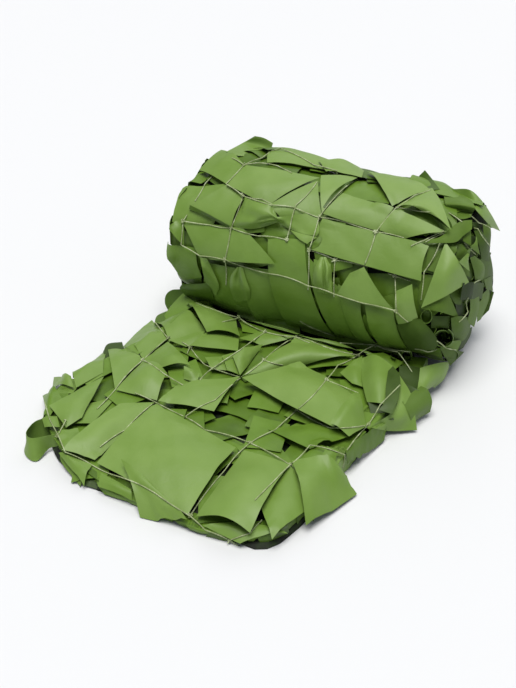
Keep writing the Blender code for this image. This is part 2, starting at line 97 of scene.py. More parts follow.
# ---------------------------------------------------------------- film
# Calendered polyethylene film, dyed through, cut in strips 60 mm wide. Calendering leaves it smooth
# with a soft satin sheen; it creases sharply and its cut edges stay straight.
def linear(code, alpha=1.0):
    """An sRGB hex colour as linear numbers."""
    parts = [int(code[i : i + 2], 16) / 255 for i in (1, 3, 5)]
    return tuple(c / 12.92 if c <= 0.04045 else ((c + 0.055) / 1.055) ** 2.4 for c in parts) + (alpha,)


def feed(tree, made, inputs):
    """Gives each of a node's inputs its value or the output linked to it."""
    for name, value in inputs.items():
        if isinstance(value, bpy.types.NodeSocket):
            tree.links.new(value, made.inputs[name])
        else:
            made.inputs[name].default_value = value


def node(tree, kind, inputs=(), **settings):
    """A new node with its settings and inputs."""
    made = tree.nodes.new(kind)
    for name, value in settings.items():
        setattr(made, name, value)
    feed(tree, made, dict(inputs))
    return made


def blank(name):
    """A new material's tree and shader."""
    made = bpy.data.materials.new(name)
    made.use_nodes = True
    return made, made.node_tree, made.node_tree.nodes["Principled BSDF"]


def shades(tree, factor, *stops):
    """A colour ramp over (place, hex colour) stops."""
    ramp = node(tree, "ShaderNodeValToRGB", {"Fac": factor})
    elements = ramp.color_ramp.elements
    while len(elements) < len(stops):
        elements.new(0.5)
    for element, (place, code) in zip(elements, stops):
        element.position, element.color = place, linear(code)
    return ramp.outputs["Color"]


def clouds(tree, place, size, detail, **more):
    """Noise in clouds of this size in metres."""
    inputs = {"Vector": place, "Scale": 1 / size, "Detail": detail, **more}
    return node(tree, "ShaderNodeTexNoise", inputs).outputs["Fac"]


def relief(tree, height, strength, depth, **below):
    """The normal of a surface that this height raises by up to depth, in metres."""
    inputs = {"Height": height, "Strength": strength, "Distance": depth, **below}
    return node(tree, "ShaderNodeBump", inputs).outputs[0]


def film_material(name, deep, low, middle, high, roughness, gloss=0.42):
    """Film: dye that varies from strip to strip and cloudily within one, faint pulls and grain. The tone
    also carries painted shade: films that lie in shade are given low tones, which reach the deepest stops.
    """
    made, tree, shader = blank(name)
    place = node(tree, "ShaderNodeTexCoord").outputs["Object"]
    tone = node(tree, "ShaderNodeAttribute", attribute_name="tone").outputs["Fac"]
    cloud = clouds(tree, place, 0.055, 3.0, Roughness=0.5)
    # The strip's own tone plus cloudy variation; where a film's tone is set low because it lies in shade,
    # this is painted shade.
    dye = node(tree, "ShaderNodeMath", {0: cloud, 1: 0.45, 2: tone}, operation="MULTIPLY_ADD").outputs[0]
    sheen = {"Value": cloud, "From Min": 0.3, "From Max": 0.7}
    sheen |= {"To Min": roughness - 0.05, "To Max": roughness + 0.07}
    grain = relief(tree, clouds(tree, place, 0.0012, 1.0), 0.25, 0.00004)
    pulls = clouds(tree, place, 0.016, 2.0, Distortion=0.6)
    feed(tree, shader, {
        "Base Color": shades(tree, dye, (0.05, deep), (0.35, low), (0.65, middle), (1.0, high)),
        "Roughness": node(tree, "ShaderNodeMapRange", sheen).outputs[0],
        "IOR": 1.5,
        "Specular IOR Level": gloss,
        "Normal": relief(tree, pulls, 0.5, 0.0011, Normal=grain),
    })
    return made


film_face = film_material("calendered green film", "#3E5A08", "#638427", "#749242", "#86A254", 0.46)
# The underside is the same film painted darker: painted shade for the faces turned away from the light. The
# rims of the netting's turns at the ends also take it.
film_under_painted_shade = film_material("film underside with painted shade", "#33490F", "#4F6B22", "#5A762B", "#658135", 0.52)
# A darker copy of the film, whose colours are painted shade for the films deep in the right end. Its lower
# gloss and higher roughness keep the floor's reflection off them.
film_inner_painted_shade = film_material(
    "film of the inner turns with painted shade", "#24370B", "#41591B", "#587428", "#74914A", 0.62, 0.2
)
FILM = 0.0005  # thickness
STRIP = 0.060  # width


def quads(index):
    """The faces between the points of a grid, from the points' numbers."""
    corners = index[:-1, :-1], index[1:, :-1], index[1:, 1:], index[:-1, 1:]
    return np.stack(corners, -1).reshape(-1, 4)


def sharp_solid(name, grids, tones, thickness=FILM):
    """One mesh of thin films, each a grid of points, with its tone. Cut edges stay sharp."""
    verts, faces, kinds, shade, sharp = [], [], [], [], []
    start = 0
    for points, tone in zip(grids, tones):
        rows, columns = points.shape[:2]
        along = np.gradient(points, axis=0)
        across = np.gradient(points, axis=1)
        normal = np.cross(along, across)
        normal /= np.linalg.norm(normal, axis=-1, keepdims=True) + 1e-12
        both = np.stack([points + normal * thickness / 2, points - normal * thickness / 2])
        verts.append(both.reshape(-1, 3))
        shade.append(np.tile(np.broadcast_to(tone, (rows, columns)).ravel(), 2))
        index = start + np.arange(rows * columns).reshape(rows, columns)
        top = quads(index)
        faces += [top, (top + rows * columns)[:, [0, 3, 2, 1]]]
        kinds += [np.zeros(len(top), int), np.ones(len(top), int)]
        ring = np.concatenate([index[0, :-1], index[:-1, -1], index[-1, :0:-1], index[:0:-1, 0]])
        below = ring + rows * columns
        after, below_after = np.roll(ring, -1), np.roll(below, -1)
        faces.append(np.stack([ring, after, below_after, below], -1))
        kinds.append(np.zeros(len(ring), int))
        sharp += [np.stack([ring, after], -1), np.stack([below, below_after], -1)]
        start += both.shape[0] * rows * columns
    mesh = bpy.data.meshes.new(name)
    verts, faces = np.concatenate(verts), np.concatenate(faces)
    mesh.from_pydata(verts.tolist(), [], faces.tolist())
    mesh.attributes.new("tone", "FLOAT", "POINT").data.foreach_set("value", np.concatenate(shade))
    mesh.polygons.foreach_set("material_index", np.concatenate(kinds))
    mesh.polygons.foreach_set("use_smooth", np.ones(len(faces), bool))
    ends = np.empty(len(mesh.edges) * 2, int)
    mesh.edges.foreach_get("vertices", ends)
    keys = np.sort(ends.reshape(-1, 2), axis=1) @ np.array([start, 1])
    cut = np.sort(np.concatenate(sharp), axis=1) @ np.array([start, 1])
    mesh.edges.foreach_set("use_edge_sharp", np.isin(keys, cut))
    return into_scene(name, mesh)


everything = []  # (points, faces) of what has been laid, for the twine to lie on


def note(points):
    """Keeps a grid of points, so that twine can be laid over it."""
    flat = points.reshape(-1, 3)
    everything.append((flat, quads(np.arange(len(flat)).reshape(points.shape[:2]))))


def film_piece(name, grids, tones, replaced=(), face=film_face):
    """Films as one piece."""
    made = sharp_solid(name, grids, tones)
    made.data.materials.append(face)
    made.data.materials.append(film_under_painted_shade)
    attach(made, "root")
    if replaced:
        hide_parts(*replaced)
    for points in grids:
        note(points)
    if len(grids) == 1:
        points = grids[0]
    return made


# ---------------------------------------------------------------- folded and wound netting
# The net itself: knotted twine netting with the lower film strips, folded in four lengthwise and
# wound into the roll. Its inner layers show only as dark turns in the gaps and at the end faces.
ROLL_LENGTH = 0.499
ROLL_OUTER = 0.149
TURN_PITCH = 0.014
TURNS, TURN_STEPS = 9.4, 560
RUFFLED = 0.05  # how far in from its ends the netting ruffles
RUFFLE, UNEVEN_TURN = 0.009, 0.006  # how far the ruffles go along the axis and across the turns
CALM_RIGHT, HOLLOW_RIGHT = 0.6, 0.016  # the right end ruffles less, and its outer turns lie further in
SET_IN = 0.013  # how far the turns lie in from the solid's end
FLOOR_LAYER = 0.0035  # how much higher each turn further in lies where the roll rests
AXIS_HEIGHT = 0.142
MEAN_RADIUS = 0.142
END_DOME = (0.010, 0.028)
END_TILT = 0.008
UNDER_FILM = 0.019  # the netting's layers lie this far below the solid's surface, the lower films between
LOOSE_END = (
    # y, left, right, height
    (-0.594, -0.085, 0.150, 0.012),
    (-0.583, -0.132, 0.178, 0.018),
    (-0.560, -0.195, 0.192, 0.024),
    (-0.515, -0.262, 0.202, 0.030),
    (-0.460, -0.288, 0.206, 0.034),
    (-0.400, -0.290, 0.205, 0.037),
    (-0.320, -0.258, 0.213, 0.041),
    (-0.200, -0.226, 0.230, 0.044),
    (-0.110, -0.224, 0.230, 0.046),
    (-0.040, -0.222, 0.220, 0.046),
)
SWELLINGS = (
    # along, degrees, width, spread in degrees, height
    (-0.125, 110, 0.080, 34, 0.020),
    (0.055, 100, 0.110, 30, 0.008),
    (0.180, 95, 0.060, 34, 0.010),
    (-0.240, 70, 0.050, 50, -0.013),
    (-0.200, 20, 0.060, 40, -0.002),
    (0.090, 5, 0.120, 32, 0.005),
    (-0.040, 205, 0.120, 36, 0.009),
)


def roll_radius(along, angle):
    """Radius of the wound netting. One turn runs from the bottom over the back, top and front."""
    wound = (1.5 * math.pi - angle) % (2 * math.pi) / (2 * math.pi)
    radius = ROLL_OUTER - TURN_PITCH * wound
    for place, degrees, width, spread, height in SWELLINGS:
        off = (angle - math.radians(degrees) + math.pi) % (2 * math.pi) - math.pi
        radius = radius + height * np.exp(-(((along - place) / width) ** 2)) * np.exp(
            -((off / math.radians(spread)) ** 2)
        )
    return radius + 0.0025 * np.sin(19 * along + 2 * angle) + 0.0018 * np.sin(47 * along - 3 * angle + 1.1)


def ripple(x, y):
    """The loose end's uneven lie, as a part of its height."""
    return 1 + 0.10 * np.sin(24 * x + 9 * y) + 0.07 * np.sin(41 * x - 17 * y + 0.8)


def loose_span(y):
    """The loose end's left and right edges and its height at this y."""
    ys, *columns = zip(*LOOSE_END)
    return [np.interp(y, ys, column) for column in columns]


def inner_material():
    """Layers of netting and film deep in the roll, which hardly any light reaches."""
    made, tree, shader = blank("shaded inner layers of netting")
    place = node(tree, "ShaderNodeTexCoord").outputs["Object"]
    cloud = clouds(tree, place, 0.02, 4.0)
    feed(tree, shader, {
        "Base Color": shades(tree, cloud, (0.35, "#0C1206"), (0.55, "#1B290C"), (0.75, "#2C4214")),
        "Roughness": 0.8,
        "Normal": relief(tree, cloud, 0.9, 0.004),
    })
    return made


inner_film = inner_material()
turns_seed = np.random.default_rng(4)


def wave(seed, a, b, sizes):
    """Smooth unevenness from a few crossing waves, between about -1 and 1."""
    total = 0.0
    for size in sizes:
        turned, phase = seed.uniform(0, math.pi), seed.uniform(0, 2 * math.pi)
        total = total + np.sin((a * math.cos(turned) + b * math.sin(turned)) * 2 * math.pi / size + phase)
    return total / len(sizes)


def wound_turns():
    """The wound layers: one spiral sheet whose ends are ruffled, from the core out."""
    angle = np.linspace(0, TURNS * 2 * math.pi, TURN_STEPS)
    half = ROLL_LENGTH / 2
    left_end = np.linspace(-half - 0.004, -half + RUFFLED, 12)
    right_end = np.linspace(half - RUFFLED, half + 0.004, 13)
    along = np.concatenate([left_end, np.linspace(-half + 0.08, half - 0.08, 9), right_end])
    spun, x = np.meshgrid(angle, along, indexing="ij")
    where = (-math.pi / 2 - spun) % (2 * math.pi)  # the outer turn ends at the bottom
    depth = (TURNS * 2 * math.pi - spun) / (2 * math.pi)  # turns below the outside
    part = 1 - depth * TURN_PITCH / ROLL_OUTER
    wound = (1.5 * math.pi - where) % (2 * math.pi)
    outer = roll_radius(np.clip(x, -half, half), where) + TURN_PITCH * wound / (2 * math.pi)
    radius = (outer - UNDER_FILM) * part
    at_end = np.clip((np.abs(x) - half + RUFFLED) / RUFFLED, 0, 1) ** 1.5
    radius = radius + at_end * UNEVEN_TURN * wave(turns_seed, spun * 0.09, x, (0.05, 0.083, 0.031))
    side = x > 0
    dome = np.where(side, END_DOME[1], END_DOME[0]) * (1 - part**2)
    dome = dome + np.where(side, END_TILT * (0.5 - 0.5 * part * np.cos(where)), 0)
    ruffle = RUFFLE * wave(turns_seed, spun * 0.10, 0 * x, (0.07, 0.117, 0.043))
    ruffle = ruffle * np.where(side, CALM_RIGHT, 1) - np.where(side, HOLLOW_RIGHT * part**6, 0)
    out = x + np.sign(x) * at_end * (dome - SET_IN + ruffle)
    z = AXIS_HEIGHT + radius * np.sin(where)
    floor = 0.001 + depth * FLOOR_LAYER
    z = np.where(z < floor, floor, z)
    return np.stack([out, -radius * np.cos(where), z], -1)


LAYER_INSET = 0.004
LAYER_LEVELS = (0.52, 0.36, 0.22, 0.08)  # parts of the loose end's height
EDGE_WOBBLE, TURNED_DOWN = 0.006, 0.25  # the layers' uneven edges, and the part by which they drop


def loose_layers():
    """The loose end's four folded layers, a little inside the solid."""
    sheets = []
    y = np.linspace(LOOSE_END[0][0] + 0.006, LOOSE_END[-1][0] - 0.02, 60)
    left, right, high = loose_span(y)
    left, right = left + LAYER_INSET, right - LAYER_INSET
    for layer, level in enumerate(LAYER_LEVELS):
        part = np.linspace(0, 1, 40)[:, None]
        wobble = EDGE_WOBBLE * wave(turns_seed, y, 0 * y, (0.09, 0.05))
        x = (left + wobble) + (right - left - wobble) * part
        z = (high * level) * ripple(x, y[None]) - 0.002 * (layer == 0)
        edge = np.minimum(part, 1 - part) * (right - left)
        z = z - np.exp(-edge / EDGE_WOBBLE) * TURNED_DOWN * high
        z = z + 0.0012 * wave(turns_seed, x, y[None] + 0 * x, (0.05, 0.08))
        sheets.append(np.stack([x, y[None] + 0 * x, np.maximum(z, 0.0012)], -1))
    return sheets


spiral = wound_turns()
layers = loose_layers()
netting = sharp_solid("folded_and_wound_netting", [spiral[:, ::-1], *layers], [0.3] * 5, 0.0009)
for finish in (inner_film, inner_film, film_under_painted_shade):
    netting.data.materials.append(finish)
centres = np.empty(len(netting.data.polygons) * 3)
netting.data.polygons.foreach_get("center", centres)
near_end = np.abs(centres.reshape(-1, 3)[:, 0]) > ROLL_LENGTH / 2 - 0.006
netting.data.polygons.foreach_set("material_index", np.where(near_end, 2, 0))
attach(netting, "root")
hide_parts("netting")


# ---------------------------------------------------------------- laying films
# Each strip is laid like a stiff film: it rests on what is highest under it, bridges the hollows,
# and stands off at the corners that spring up. A height map keeps what has been laid so far.
OFF_FLOOR = 0.0006  # the least height of a film's middle over the floor


class Ground:
    """A height map over a surface with two metric coordinates."""

    STEP = 0.003
    NOTHING = -0.030  # the height where there is nothing to rest on
    lowest = NOTHING

    def __init__(self, low, high):
        self.low = np.array(low)
        steps = np.ceil((np.array(high) - self.low) / self.STEP).astype(int) + 1
        a, b = [self.low[i] + self.STEP * np.arange(steps[i]) for i in (0, 1)]
        self.height = self.ground(*np.meshgrid(a, b, indexing="ij"))

    def cells(self, a, b):
        a = np.rint((np.asarray(a) - self.low[0]) / self.STEP).astype(int)
        b = np.rint((np.asarray(b) - self.low[1]) / self.STEP).astype(int)
        return np.clip(a, 0, self.height.shape[0] - 1), np.clip(b, 0, self.height.shape[1] - 1)

    def top(self, a, b, reach=1):
        """The highest thing laid so far within a few cells of each place."""
        i, j = self.cells(a, b)
        found = np.full(i.shape, -np.inf)
        for di in range(-reach, reach + 1):
            for dj in range(-reach, reach + 1):
                ii = np.clip(i + di, 0, self.height.shape[0] - 1)
                jj = np.clip(j + dj, 0, self.height.shape[1] - 1)
                found = np.maximum(found, self.height[ii, jj])
        return found

    def mark(self, a, b, height):
        for da in (-self.STEP, 0, self.STEP):
            for db in (-self.STEP, 0, self.STEP):
                np.maximum.at(self.height, self.cells(a + da, b + db), height)


class RollGround(Ground):
    """Coordinates: along the axis, and around from the front over the top, at MEAN_RADIUS."""

    def __init__(self, depth):
        self.depth = depth
        super().__init__((-0.31, -0.5 * math.pi * MEAN_RADIUS), (0.31, 1.5 * math.pi * MEAN_RADIUS))

    def ground(self, a, b):
        inside = np.abs(a) <= ROLL_LENGTH / 2 + 0.002
        return np.where(inside, roll_radius(a, b / MEAN_RADIUS) - MEAN_RADIUS - self.depth, self.NOTHING)

    def point(self, a, b, height):
        angle = b / MEAN_RADIUS
        radius = MEAN_RADIUS + height
        z = np.maximum(AXIS_HEIGHT + radius * np.sin(angle), OFF_FLOOR)
        return np.stack([a + 0 * z, -radius * np.cos(angle), z], axis=-1)

    def cross(self, way, height):
        """Where a ray from the camera meets this height. A ray that passes by sets its own height."""
        start = np.array([EYE[1], EYE[2] - AXIS_HEIGHT])
        run = way[1:]
        nearest = -(start @ run) / (run @ run)
        miss = np.linalg.norm(start + nearest * run)
        radius = MEAN_RADIUS + height
        back_off = math.sqrt(max(0.0, radius**2 - miss**2) / (run @ run))
        hit = EYE + way * (nearest - back_off)
        angle = math.atan2(hit[2] - AXIS_HEIGHT, -hit[1])
        return hit[0], angle * MEAN_RADIUS, max(height, miss - MEAN_RADIUS)


class EndGround(Ground):
    """Coordinates: y and z over the right end face. Heights run outward along X."""

    def __init__(self):
        super().__init__((-0.20, -0.02), (0.20, 0.36))

    def ground(self, a, b):
        part = np.hypot(a, b - AXIS_HEIGHT) / ROLL_OUTER
        tilt = END_TILT * (0.5 + 0.5 * a / ROLL_OUTER)
        return np.where(part < 1, END_DOME[1] * (1 - part**2) + tilt, self.NOTHING)

    def point(self, a, b, height):
        return np.stack([ROLL_LENGTH / 2 + height, a, np.maximum(b, OFF_FLOOR)], axis=-1)

    def cross(self, way, height):
        hit = EYE + way * (ROLL_LENGTH / 2 + height - EYE[0]) / way[0]
        return hit[1], hit[2], height


class LooseGround(Ground):
    """Coordinates: x and y over the floor."""

    lowest = 0.0008
    REAR = -0.131  # where it goes in under the roll
    ROUNDING = 0.018  # how far in its edges are rounded

    def __init__(self, share):
        self.share = share
        super().__init__((-0.36, -0.70), (0.36, -0.06))

    def ground(self, a, b):
        left, right, high = loose_span(b)
        level = high * ripple(a, b) * self.share
        to_tip = (b - LOOSE_END[0][0]) * 1.5
        edge = np.minimum(np.minimum(a - left, right - a), to_tip) / self.ROUNDING
        return level * np.sqrt(np.clip(1 - (1 - np.clip(edge, 0, 1)) ** 2, 0, 1))

    def point(self, a, b, height):
        return np.stack([a, b, np.maximum(height, OFF_FLOOR)], axis=-1)

    def cross(self, way, height):
        hit = EYE + way * (height - EYE[2]) / way[2]
        past_roll = max(0.0, abs(hit[0]) - ROLL_LENGTH / 2)
        return hit[0], min(hit[1], self.REAR + 1.5 * past_roll), height


STIFF_CELL = 0.022  # how far the film's stiffness carries from point to point
FINE_CELL = 0.0045
COARSE_GAP, FINE_GAP = 0.0006, 0.0004  # the air left under a film
CUT_BOW = 0.035  # how far a cut edge strays from straight, as a part of the strip


def spread_over(corners, u, v):
    """Four corner values, in ring order, spread over a grid."""
    c = np.asarray(corners, float)
    return c[0] * (1 - u) * (1 - v) + c[1] * u * (1 - v) + c[2] * u * v + c[3] * (1 - u) * v


def curved(count, fine):
    """Weights that read a smooth curve through evenly spaced values."""
    place = np.linspace(0, count - 1, fine)
    first = np.minimum(place.astype(int), count - 2)
    t = place - first
    weights = np.zeros((fine, count))
    rows = np.arange(fine)
    for shift, share in (
        (-1, (-t + 2 * t**2 - t**3) / 2),
        (0, (2 - 5 * t**2 + 3 * t**3) / 2),
        (1, (t + 4 * t**2 - 3 * t**3) / 2),
        (2, (t**3 - t**2) / 2),
    ):
        at = first + shift
        low, high = at < 0, at > count - 1
        inside = ~(low | high)
        np.add.at(weights, (rows[inside], at[inside]), share[inside])
        np.add.at(weights, (rows[low], 0), 2 * share[low])
        np.add.at(weights, (rows[low], 1), -share[low])
        np.add.at(weights, (rows[high], count - 1), 2 * share[high])
        np.add.at(weights, (rows[high], count - 2), -share[high])
    return weights


def sides_of(corners):
    return math.dist(corners[0], corners[1]), math.dist(corners[1], corners[2])


def stiff_heights(surface, corners, lifts, crown):
    """Heights of the coarse grid of a stiff film over what lies under it."""
    rows, columns = [max(2, min(7, round(side / STIFF_CELL))) for side in sides_of(corners)]
    u, v = np.meshgrid(np.linspace(0, 1, rows + 1), np.linspace(0, 1, columns + 1), indexing="ij")
    a, b = [spread_over([corner[axis] for corner in corners], u, v) for axis in (0, 1)]
    need = surface.top(a, b) + FILM + COARSE_GAP
    height = need.copy()
    for _ in range(30):
        padded = np.pad(height, 1, mode="reflect", reflect_type="odd")
        flat = (padded[2:, 1:-1] + padded[:-2, 1:-1] + padded[1:-1, 2:] + padded[1:-1, :-2]) / 4
        height = np.maximum(need, 0.4 * height + 0.6 * flat)
    return height + spread_over(lifts, u, v) + crown * np.sin(math.pi * u) * np.sin(math.pi * v)


def facing(points, outside):
    """The grid turned so that the film's face is on the outside."""
    normal = np.cross(np.gradient(points, axis=0), np.gradient(points, axis=1))
    return points if ((outside - points) * normal).sum() > 0 else points[:, ::-1]


def lay(surface, corners, lifts, crown, seed, wrinkle=0.0007, edges=(0, 0, 0, 0)):
    """Lays a strip and marks what it covers. Returns its fine grid of points."""
    coarse = stiff_heights(surface, corners, lifts, crown)
    rows, columns = [max(4, round(side / FINE_CELL)) + 1 for side in sides_of(corners)]
    height = curved(coarse.shape[0], rows) @ coarse @ curved(coarse.shape[1], columns).T
    u, v = np.meshgrid(np.linspace(0, 1, rows), np.linspace(0, 1, columns), indexing="ij")
    a, b = [spread_over([corner[axis] for corner in corners], u, v) for axis in (0, 1)]
    height = height + wrinkle * wave(seed, a, b, (0.030, 0.047, 0.075))
    over_u, over_v = np.sin(math.pi * u), np.sin(math.pi * v)
    near_edge = ((1 - v) ** 2 * over_u, u**2 * over_v, v**2 * over_u, (1 - u) ** 2 * over_v)
    middle_a, middle_b = a.mean(), b.mean()
    for lift, share in zip(edges, near_edge):
        height = height + lift * share
        bow = seed.uniform(-CUT_BOW, CUT_BOW) * share
        a, b = a + (a - middle_a) * bow, b + (b - middle_b) * bow
    need = surface.top(a, b, 2) + FILM + FINE_GAP
    for _ in range(8):
        short = np.maximum(need - height, 0)
        if short.max() < 1e-5:
            break
        padded = np.pad(short, 2, mode="edge")
        spread = np.zeros_like(short)
        for i in range(5):
            for j in range(5):
                part = padded[i : i + rows, j : j + columns] * (1 - 0.18 * math.hypot(i - 2, j - 2))
                spread = np.maximum(spread, part)
        height = height + spread
    height = np.maximum(height, surface.lowest)
    surface.mark(a, b, height + FILM / 2)
    return facing(surface.point(a, b, height), surface.point(a, b, height + 0.001))


def seen_corners(surface, pixels, lifts, crown):
    """Corners on the surface that the camera sees at these pixels, once the strip has settled."""
    ways = [ray(pixel) for pixel in pixels]
    lifts, heights = list(lifts), [0.01] * 4
    for _ in range(6):
        found = [surface.cross(way, height) for way, height in zip(ways, heights)]
        settled = stiff_heights(surface, [spot[:2] for spot in found], lifts, crown)
        for k, (i, j) in enumerate(((0, 0), (-1, 0), (-1, -1), (0, -1))):
            heights[k] = 0.5 * (heights[k] + settled[i, j])
            lifts[k] = max(lifts[k], lifts[k] + surface.cross(ways[k], settled[i, j])[2] - settled[i, j])
    return [spot[:2] for spot in found], lifts


def placed_corners(across, upward, turned, length, width=STRIP):
    """Corners of a strip given by its middle, its turn in degrees and its size."""
    turn = math.radians(turned)
    corners = []
    for side_u, side_v in ((-1, -1), (1, -1), (1, 1), (-1, 1)):
        u, v = side_u * length / 2, side_v * width / 2
        a = across + u * math.cos(turn) - v * math.sin(turn)
        corners.append((a, upward + u * math.sin(turn) + v * math.cos(turn)))
    return corners


roll, right_end, loose = RollGround(0.003), EndGround(), LooseGround(0.93)


# ---------------------------------------------------------------- lower films
# Strips of the layers below the top one, tied in at every mesh. They fill the gaps between the top
# strips, and cover the back, the ends and the underside of the roll, where the photograph can't see.
deep_roll, deep_loose = RollGround(0.016), LooseGround(0.60)


def scatter(surface, seed, places, name, lift=0.006, wrinkle=0.0012):
    """Lays strips at these places by chance, as one piece."""
    grids, tones = [], []
    for across, upward, turned, length in places:
        corners = placed_corners(across, upward, turned, length, seed.uniform(0.052, 0.062))
        lifts = seed.uniform(0, 1, 4) ** 2.5 * lift
        grids.append(lay(surface, corners, lifts, seed.uniform(0, 0.003), seed, wrinkle))
        # Tones vary at random over a low range: painted shade for the layers below the top strips.
        tones.append(seed.uniform(-0.1, 0.15))
    return film_piece(name, grids, tones)


ROLL_REACH = 0.252  # how far to each side of its middle the roll's lower films reach


def roll_places(seed, low, high, pitch_along, pitch_around, spread):
    """Middles, turns and lengths of strips over a stretch of the roll, from low to high degrees."""
    places = []
    start, end = math.radians(low) * MEAN_RADIUS, math.radians(high) * MEAN_RADIUS
    for row, b in enumerate(np.arange(start, end, pitch_around)):
        for a in np.arange(-0.205 + 0.04 * (row % 2), 0.225, pitch_along):
            turned = seed.choice([0, 0, 90]) + seed.uniform(-spread, spread)
            length = seed.uniform(0.085, 0.150)
            turn = math.radians(turned)
            half = (abs(math.cos(turn)) * length + abs(math.sin(turn)) * STRIP) / 2
            a_in = np.clip(a + seed.uniform(-0.015, 0.015), half - ROLL_REACH, ROLL_REACH - half)
            places.append((a_in, b + seed.uniform(-0.012, 0.012), turned, length))
    order = seed.permutation(len(places))
    return [places[k] for k in order]


lower_seed = np.random.default_rng(11)
front_places = roll_places(lower_seed, -45, 125, 0.085, 0.055, 35)
scatter(deep_roll, lower_seed, front_places, "roll_lower_films_front")


# ---------------------------------------------------------------- top films of the roll
# Strips 60 mm wide, tied at the knots of the top layer, lower ones first. Each has four corners in
# the photograph, how far each corner stands off what is under it, and how far its middle bows up.
ROLL_STRIPS = (
    # name, corner, corner, corner, corner, corner lifts, crown, tone; the spike's negative tone is painted
    # shade for its dark inside
    ("band_1", (206, 262), (236, 268), (260, 317), (213, 305), (0, 0, 0, 0), 3, 0.15),
    ("band_2", (239, 265), (274, 270), (297, 325), (263, 318), (0, 0, 0, 0), 3, 0.25),
    ("band_3", (268, 239), (305, 240), (335, 335), (301, 327), (0, 0, 0, 0), 3, 0.25),
    ("band_4", (308, 256), (342, 290), (358, 341), (338, 336), (0, 0, 0, 0), 2, 0.2),
    ("band_5", (338, 284), (361, 300), (379, 345), (359, 341), (0, 0, 0, 0), 2, 0.25),
    ("band_6", (366, 296), (393, 306), (412, 354), (384, 346), (0, 0, 0, 0), 3, 0.15),
    ("left_under", (183, 188), (228, 184), (214, 224), (172, 222), (0, 0, 0, 2), 2, 0.35),
    ("left_leaf", (167, 242), (196, 248), (202, 277), (183, 280), (2, 0, 0, 1), 2, 0.2),
    ("left_field", (182, 221), (243, 228), (275, 264), (200, 258), (0, 0, 2, 0), 0, 0.35),
    ("dark_edge", (192, 206), (228, 184), (246, 197), (231, 227), (3, 0, 0, 3), 0, 0.4),
    ("horn", (199, 170), (221, 150), (244, 165), (226, 184), (4, 3, 0, 0), 2, 0.4),
    ("crest_near", (270, 149), (347, 166), (337, 172), (267, 163), (0, 2, 0, 0), 3, 0.5),
    ("upper_field", (244, 165), (320, 178), (268, 206), (226, 184), (0, 0, 3, 0), 3, 0.45),
    ("slant", (268, 206), (318, 181), (322, 217), (284, 221), (2, 0, 0, 0), 0, 0.4),
    ("bow_left", (246, 199), (272, 204), (279, 220), (241, 227), (0, 0, 0, 0), 2, 0.3),
    ("fan", (321, 176), (358, 178), (341, 194), (322, 213), (0, 4, 0, 0), 2, 0.5),
    ("spike", (414, 181), (425, 170), (440, 190), (428, 191), (2, 9, 0, 0), 0, -0.2),
    ("crest_mid", (318, 161), (365, 171), (362, 178), (326, 173), (0, 2, 0, 0), 2, 0.5),
    ("top_long", (367, 172), (415, 178), (431, 191), (392, 206), (0, 2, 0, 3), 4, 0.5),
    ("middle", (323, 214), (343, 194), (394, 208), (377, 231), (0, 0, 0, 0), 2, 0.45),
    ("right_low", (378, 230), (397, 209), (447, 232), (404, 239), (0, 0, 4, 0), 2, 0.5),
    ("right_peak", (396, 207), (432, 189), (451, 230), (424, 212), (2, 0, 8, 7), 3, 0.5),
    ("long_field", (323, 219), (429, 246), (421, 281), (312, 250), (2, 0, 3, 0), 0, 0.4),
    ("wedge", (350, 273), (364, 267), (395, 311), (337, 294), (0, 0, 4, 2), 2, 0.45),
    ("bunch", (314, 259), (331, 264), (333, 295), (316, 289), (0, 0, 0, 0), 2, 0.3),
    ("side_leaf", (396, 291), (412, 284), (418, 318), (398, 324), (3, 4, 5, 3), 4, 0.45),
)
# Edges that bow up between their corners, first to second corner and so on round, in millimetres.
EDGE_LIFTS = {
    "top_long": (2, 0, 4, 9), "right_peak": (0, 3, 6, 6), "right_low": (0, 2, 4, 0),
    "middle": (3, 0, 1, 0), "fan": (3, 4, 0, 2), "slant": (0, 0, 0, 5), "dark_edge": (0, 0, 6, 2),
    "left_field": (0, 0, 4, 2), "long_field": (2, 2, 3, 0), "wedge": (2, 3, 3, 1),
    "crest_mid": (4, 2, 0, 0), "crest_near": (3, 2, 0, 0), "upper_field": (0, 0, 3, 0),
    "horn": (0, 0, 0, 3), "left_leaf": (0, 3, 0, 0), "bow_left": (2, 0, 5, 0),
    "side_leaf": (2, 3, 5, 0), "left_under": (0, 0, 0, 4), "arrow": (2, 0, 6, 6),
    "arched": (2, 4, 7, 0), "slit_leaf": (9, 3, 4, 3), "centre": (3, 5, 10, 0),
    "front_wide": (2, 4, 3, 12), "band_low": (5, 0, 3, 2), "band_wide": (4, 0, 6, 2),
    "front_right": (2, 6, 4, 3), "front_right_a": (2, 3, 4, 3), "mid_left": (3, 0, 4, 2),
    "shoulder": (4, 3, 2, 4), "edge_left": (5, 2, 2, 2), "rear_left": (3, 3, 3, 1),
    "crumple": (2, 4, 5, 0), "front_leaf": (4, 3, 0, 2),
}
top_seed = np.random.default_rng(21)


def seen_films(surface, table):
    """Lays strips by their corners in the photograph, each as a piece that stands for its CAD strip."""
    for name, *pixels, lifts, crown, tone in table:
        edges = [lift * MM for lift in EDGE_LIFTS.get(name, (0, 0, 0, 0))]
        corners, raised = seen_corners(surface, pixels, [lift * MM for lift in lifts], crown * MM)
        points = lay(surface, corners, raised, crown * MM, top_seed, edges=edges)
        node_name = "strip_" + name
        replaced = [node_name] if node_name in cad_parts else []
        film_piece("film_" + name, [points], [tone], replaced)


def placed_films(surface, table):
    """Lays strips by their places on the surface, where the photograph doesn't show them."""
    for name, across, upward, turned, length in table:
        corners = placed_corners(across, upward, turned, length)
        points = lay(surface, corners, (0, 0, 0, 0), 0.002, top_seed)
        film_piece("film_" + name, [points], [0.35], ["strip_" + name])


